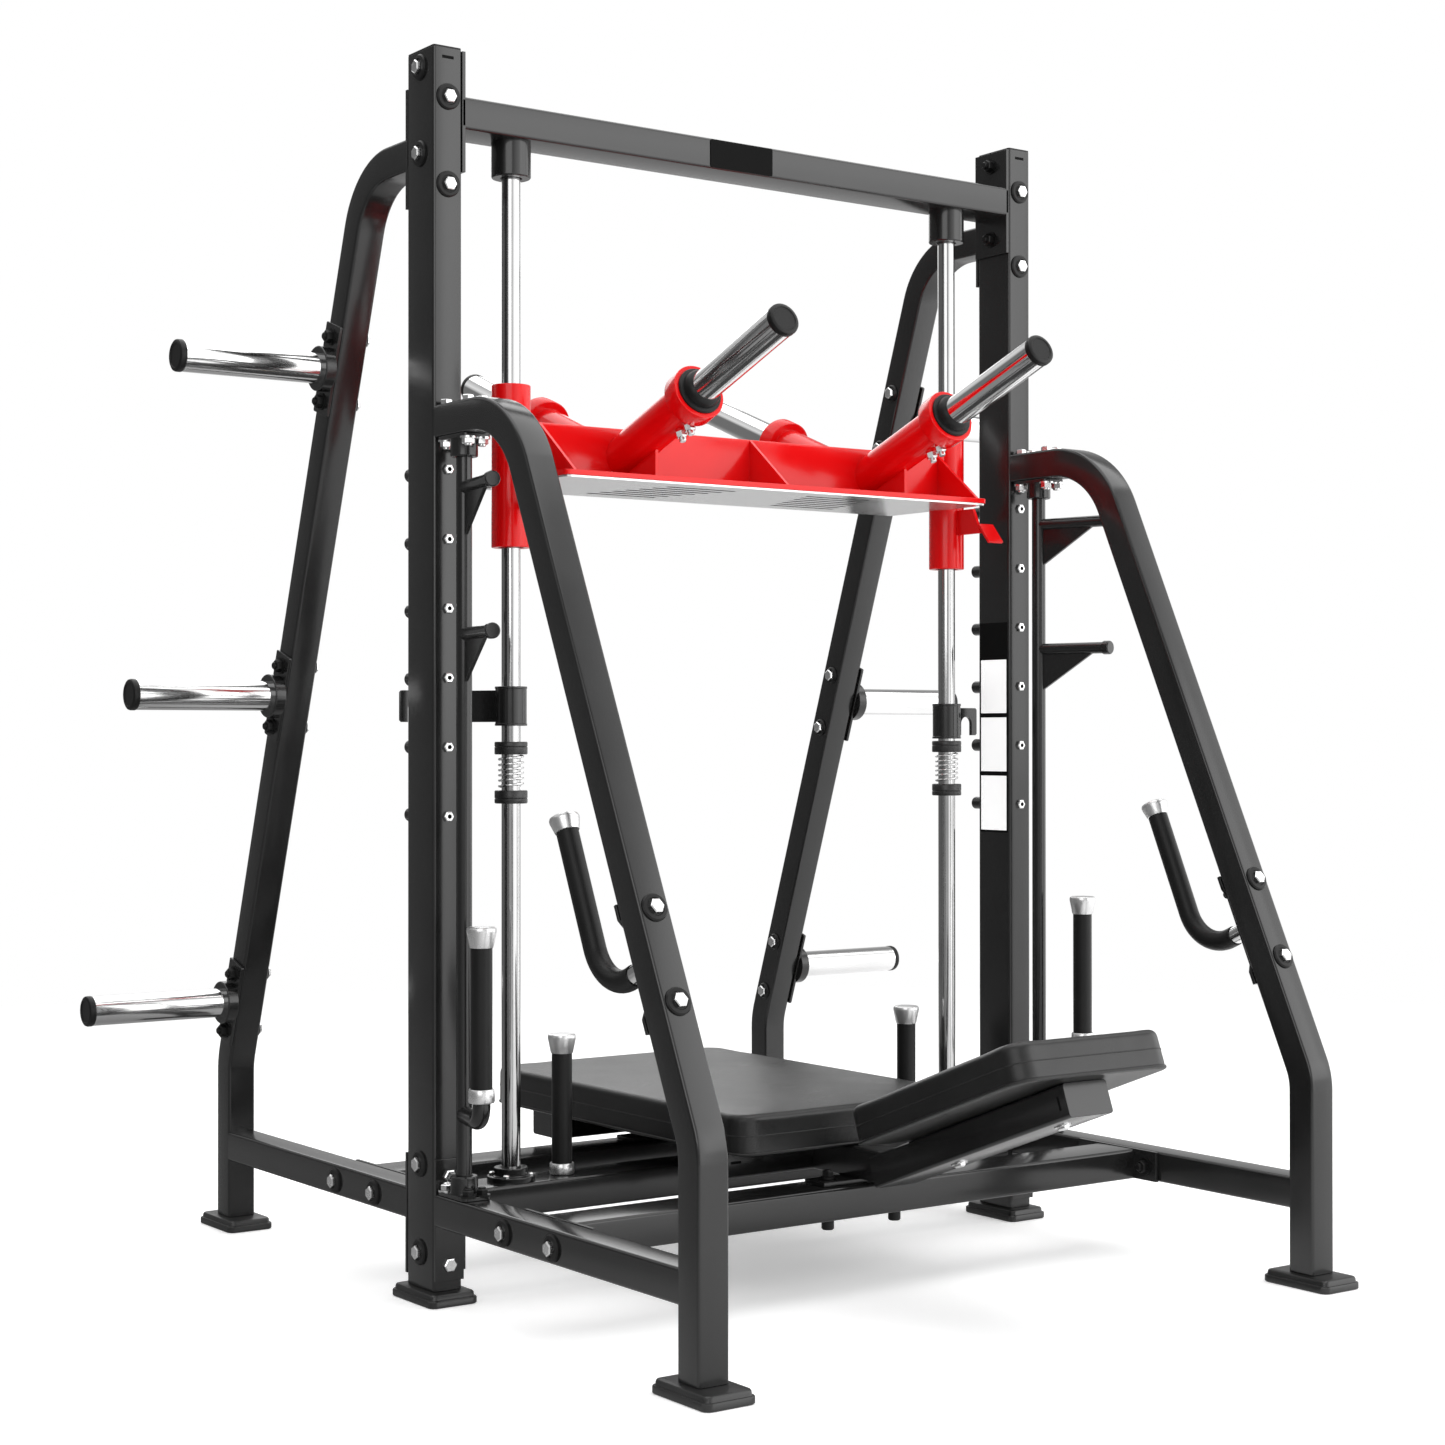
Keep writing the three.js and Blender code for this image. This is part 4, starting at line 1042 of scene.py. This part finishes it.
label()
badge = Shape()
badge.bar(BADGE_X, (-DEEP / 2 - 1.5, -DEEP / 2 + 1), (TOP_BEAM_Z[0] + 2, TOP_BEAM_Z[1] - 2), Y, 3)
badge.finish("beam_badge", "frame", "dark", bevel=0.5)
for (body, finish), shape in FIXINGS.items():
    shape.finish(f"{body}_{finish}_fixings", body, finish, bevel=0)


# ---- floor, light and camera ----------------------------------------------------------------
LIT_SIDE = (0.75, -0.66, 0)  # from the middle towards the bright side of the studio


def toward_light(tree, place):
    """How far a place or a direction lies towards the bright side of the studio."""
    found = node(tree, "VectorMath", {0: place, 1: LIT_SIDE}, operation="DOT_PRODUCT")
    return found.outputs["Value"]


def combined(tree, first, second, operation):
    return node(tree, "Math", {0: first, 1: second}, operation=operation).outputs[0]


def floor():
    """A pale round floor that fades out at its rim. Seen in reflections its colour is painted shade:
    darker, and brighter towards the lit side."""
    made = bpy.data.materials.new("floor_pale_with_painted_shade")
    made.use_nodes = True
    tree = made.node_tree
    shader = tree.nodes["Principled BSDF"]
    place = node(tree, "TexCoord").outputs["Object"]
    speckle = node(tree, "TexNoise", {"Vector": place, "Scale": 40, "Detail": 3}).outputs["Fac"]
    pale = node(tree, "MixRGB", {"Fac": speckle, "Color1": grey(0.93), "Color2": grey(0.96)})
    mirrored = node(tree, "LightPath").outputs["Is Glossy Ray"]
    # Painted shade for reflections: the floor seen in the object is darker, and brighter towards the lit
    # side.
    shade = ramped(tree, toward_light(tree, place), 0.15, 0.9, -1.0, 0.6)
    tone = node(tree, "MixRGB", {"Fac": mirrored, "Color1": pale.outputs["Color"], "Color2": shade})
    tree.links.new(tone.outputs["Color"], shader.inputs["Base Color"])
    shader.inputs["Emission Color"].default_value = grey(1)
    # Seen in reflections the floor also glows less, as part of that painted shade; seen directly it glows
    # evenly.
    tree.links.new(ramped(tree, mirrored, 0.3, 0.1, 0, 1), shader.inputs["Emission Strength"])
    shader.inputs["Roughness"].default_value = 0.7
    shader.inputs["Specular IOR Level"].default_value = 0.2
    reach = node(tree, "VectorMath", {0: place}, operation="LENGTH").outputs["Value"]
    tree.links.new(ramped(tree, reach, 1, 0, 1.8, 4.6), shader.inputs["Alpha"])
    shape = bmesh.new()
    bmesh.ops.create_circle(shape, cap_ends=True, radius=5, segments=96)
    data = bpy.data.meshes.new("floor")
    shape.to_mesh(data)
    shape.free()
    disc = bpy.data.objects.new("floor", data)
    disc.location.z = -0.0005
    data.materials.append(made)
    bpy.context.scene.collection.objects.link(disc)


def softbox(name, at, size, power, target=(0, 0, 0.9)):
    data = bpy.data.lights.new(name, "AREA")
    data.shape = "RECTANGLE"
    data.size, data.size_y = size
    data.energy = power
    made = bpy.data.objects.new(name, data)
    made.location = at
    made.rotation_euler = (Vector(target) - Vector(at)).to_track_quat("-Z", "Y").to_euler()
    made.visible_camera = False
    bpy.context.scene.collection.objects.link(made)


def world():
    """White behind the object; as light, bright at the front right and dark low at the back left."""
    made = bpy.data.worlds.new("studio")
    made.use_nodes = True
    tree = made.node_tree
    tree.nodes.clear()
    place = node(tree, "TexCoord").outputs["Generated"]
    toward = toward_light(tree, place)
    height = node(tree, "SeparateXYZ", {"Vector": place}).outputs["Z"]
    dim = ramped(tree, toward, ramped(tree, height, 0.2, 1.3, 0.3, 0.5), 0.6, -0.75, -0.15)
    glow = ramped(tree, toward, 0, 1.8, 0.3, 0.85)
    dip = ramped(tree, toward, 0, 0.7, 0.94, 0.99)
    bright = combined(tree, glow, dip, "SUBTRACT")
    level = combined(tree, dim, bright, "ADD")
    tone = combined(tree, level, ramped(tree, height, 1, 0.5, 0.25, 0.75), "MULTIPLY")
    studio = node(tree, "Background", {"Color": grey(1), "Strength": tone})
    paper = node(tree, "Background", {"Color": grey(1), "Strength": 1.0})
    seen = node(tree, "LightPath").outputs["Is Camera Ray"]
    mixed = node(tree, "MixShader", {0: seen, 1: studio.outputs[0], 2: paper.outputs[0]})
    node(tree, "OutputWorld", {"Surface": mixed.outputs[0]})
    bpy.context.scene.world = made


def camera():
    data = bpy.data.cameras.new("camera")
    data.sensor_width = 36
    data.lens = 62.93
    made = bpy.data.objects.new("camera", data)
    made.location = Vector((-2491.67, -3428.42 + POST_Y, 866.57)) * MM
    made.rotation_euler = Euler([math.radians(a) for a in (90.31, 0.03, -35.56)], "XYZ")
    bpy.context.scene.collection.objects.link(made)
    bpy.context.scene.camera = made


floor()
world()
softbox("key", (3.1, -4.2, 2.4), (3.4, 3.4), 40)
softbox("top", (0.3, 0.2, 4.6), (6, 6), 230)
softbox("fill", (-3.6, -3.4, 2.6), (3, 3), 60)
softbox("back", (1.5, 4.2, 2.6), (3, 2), 30)
camera()
bpy.context.scene.view_settings.view_transform = "Standard"
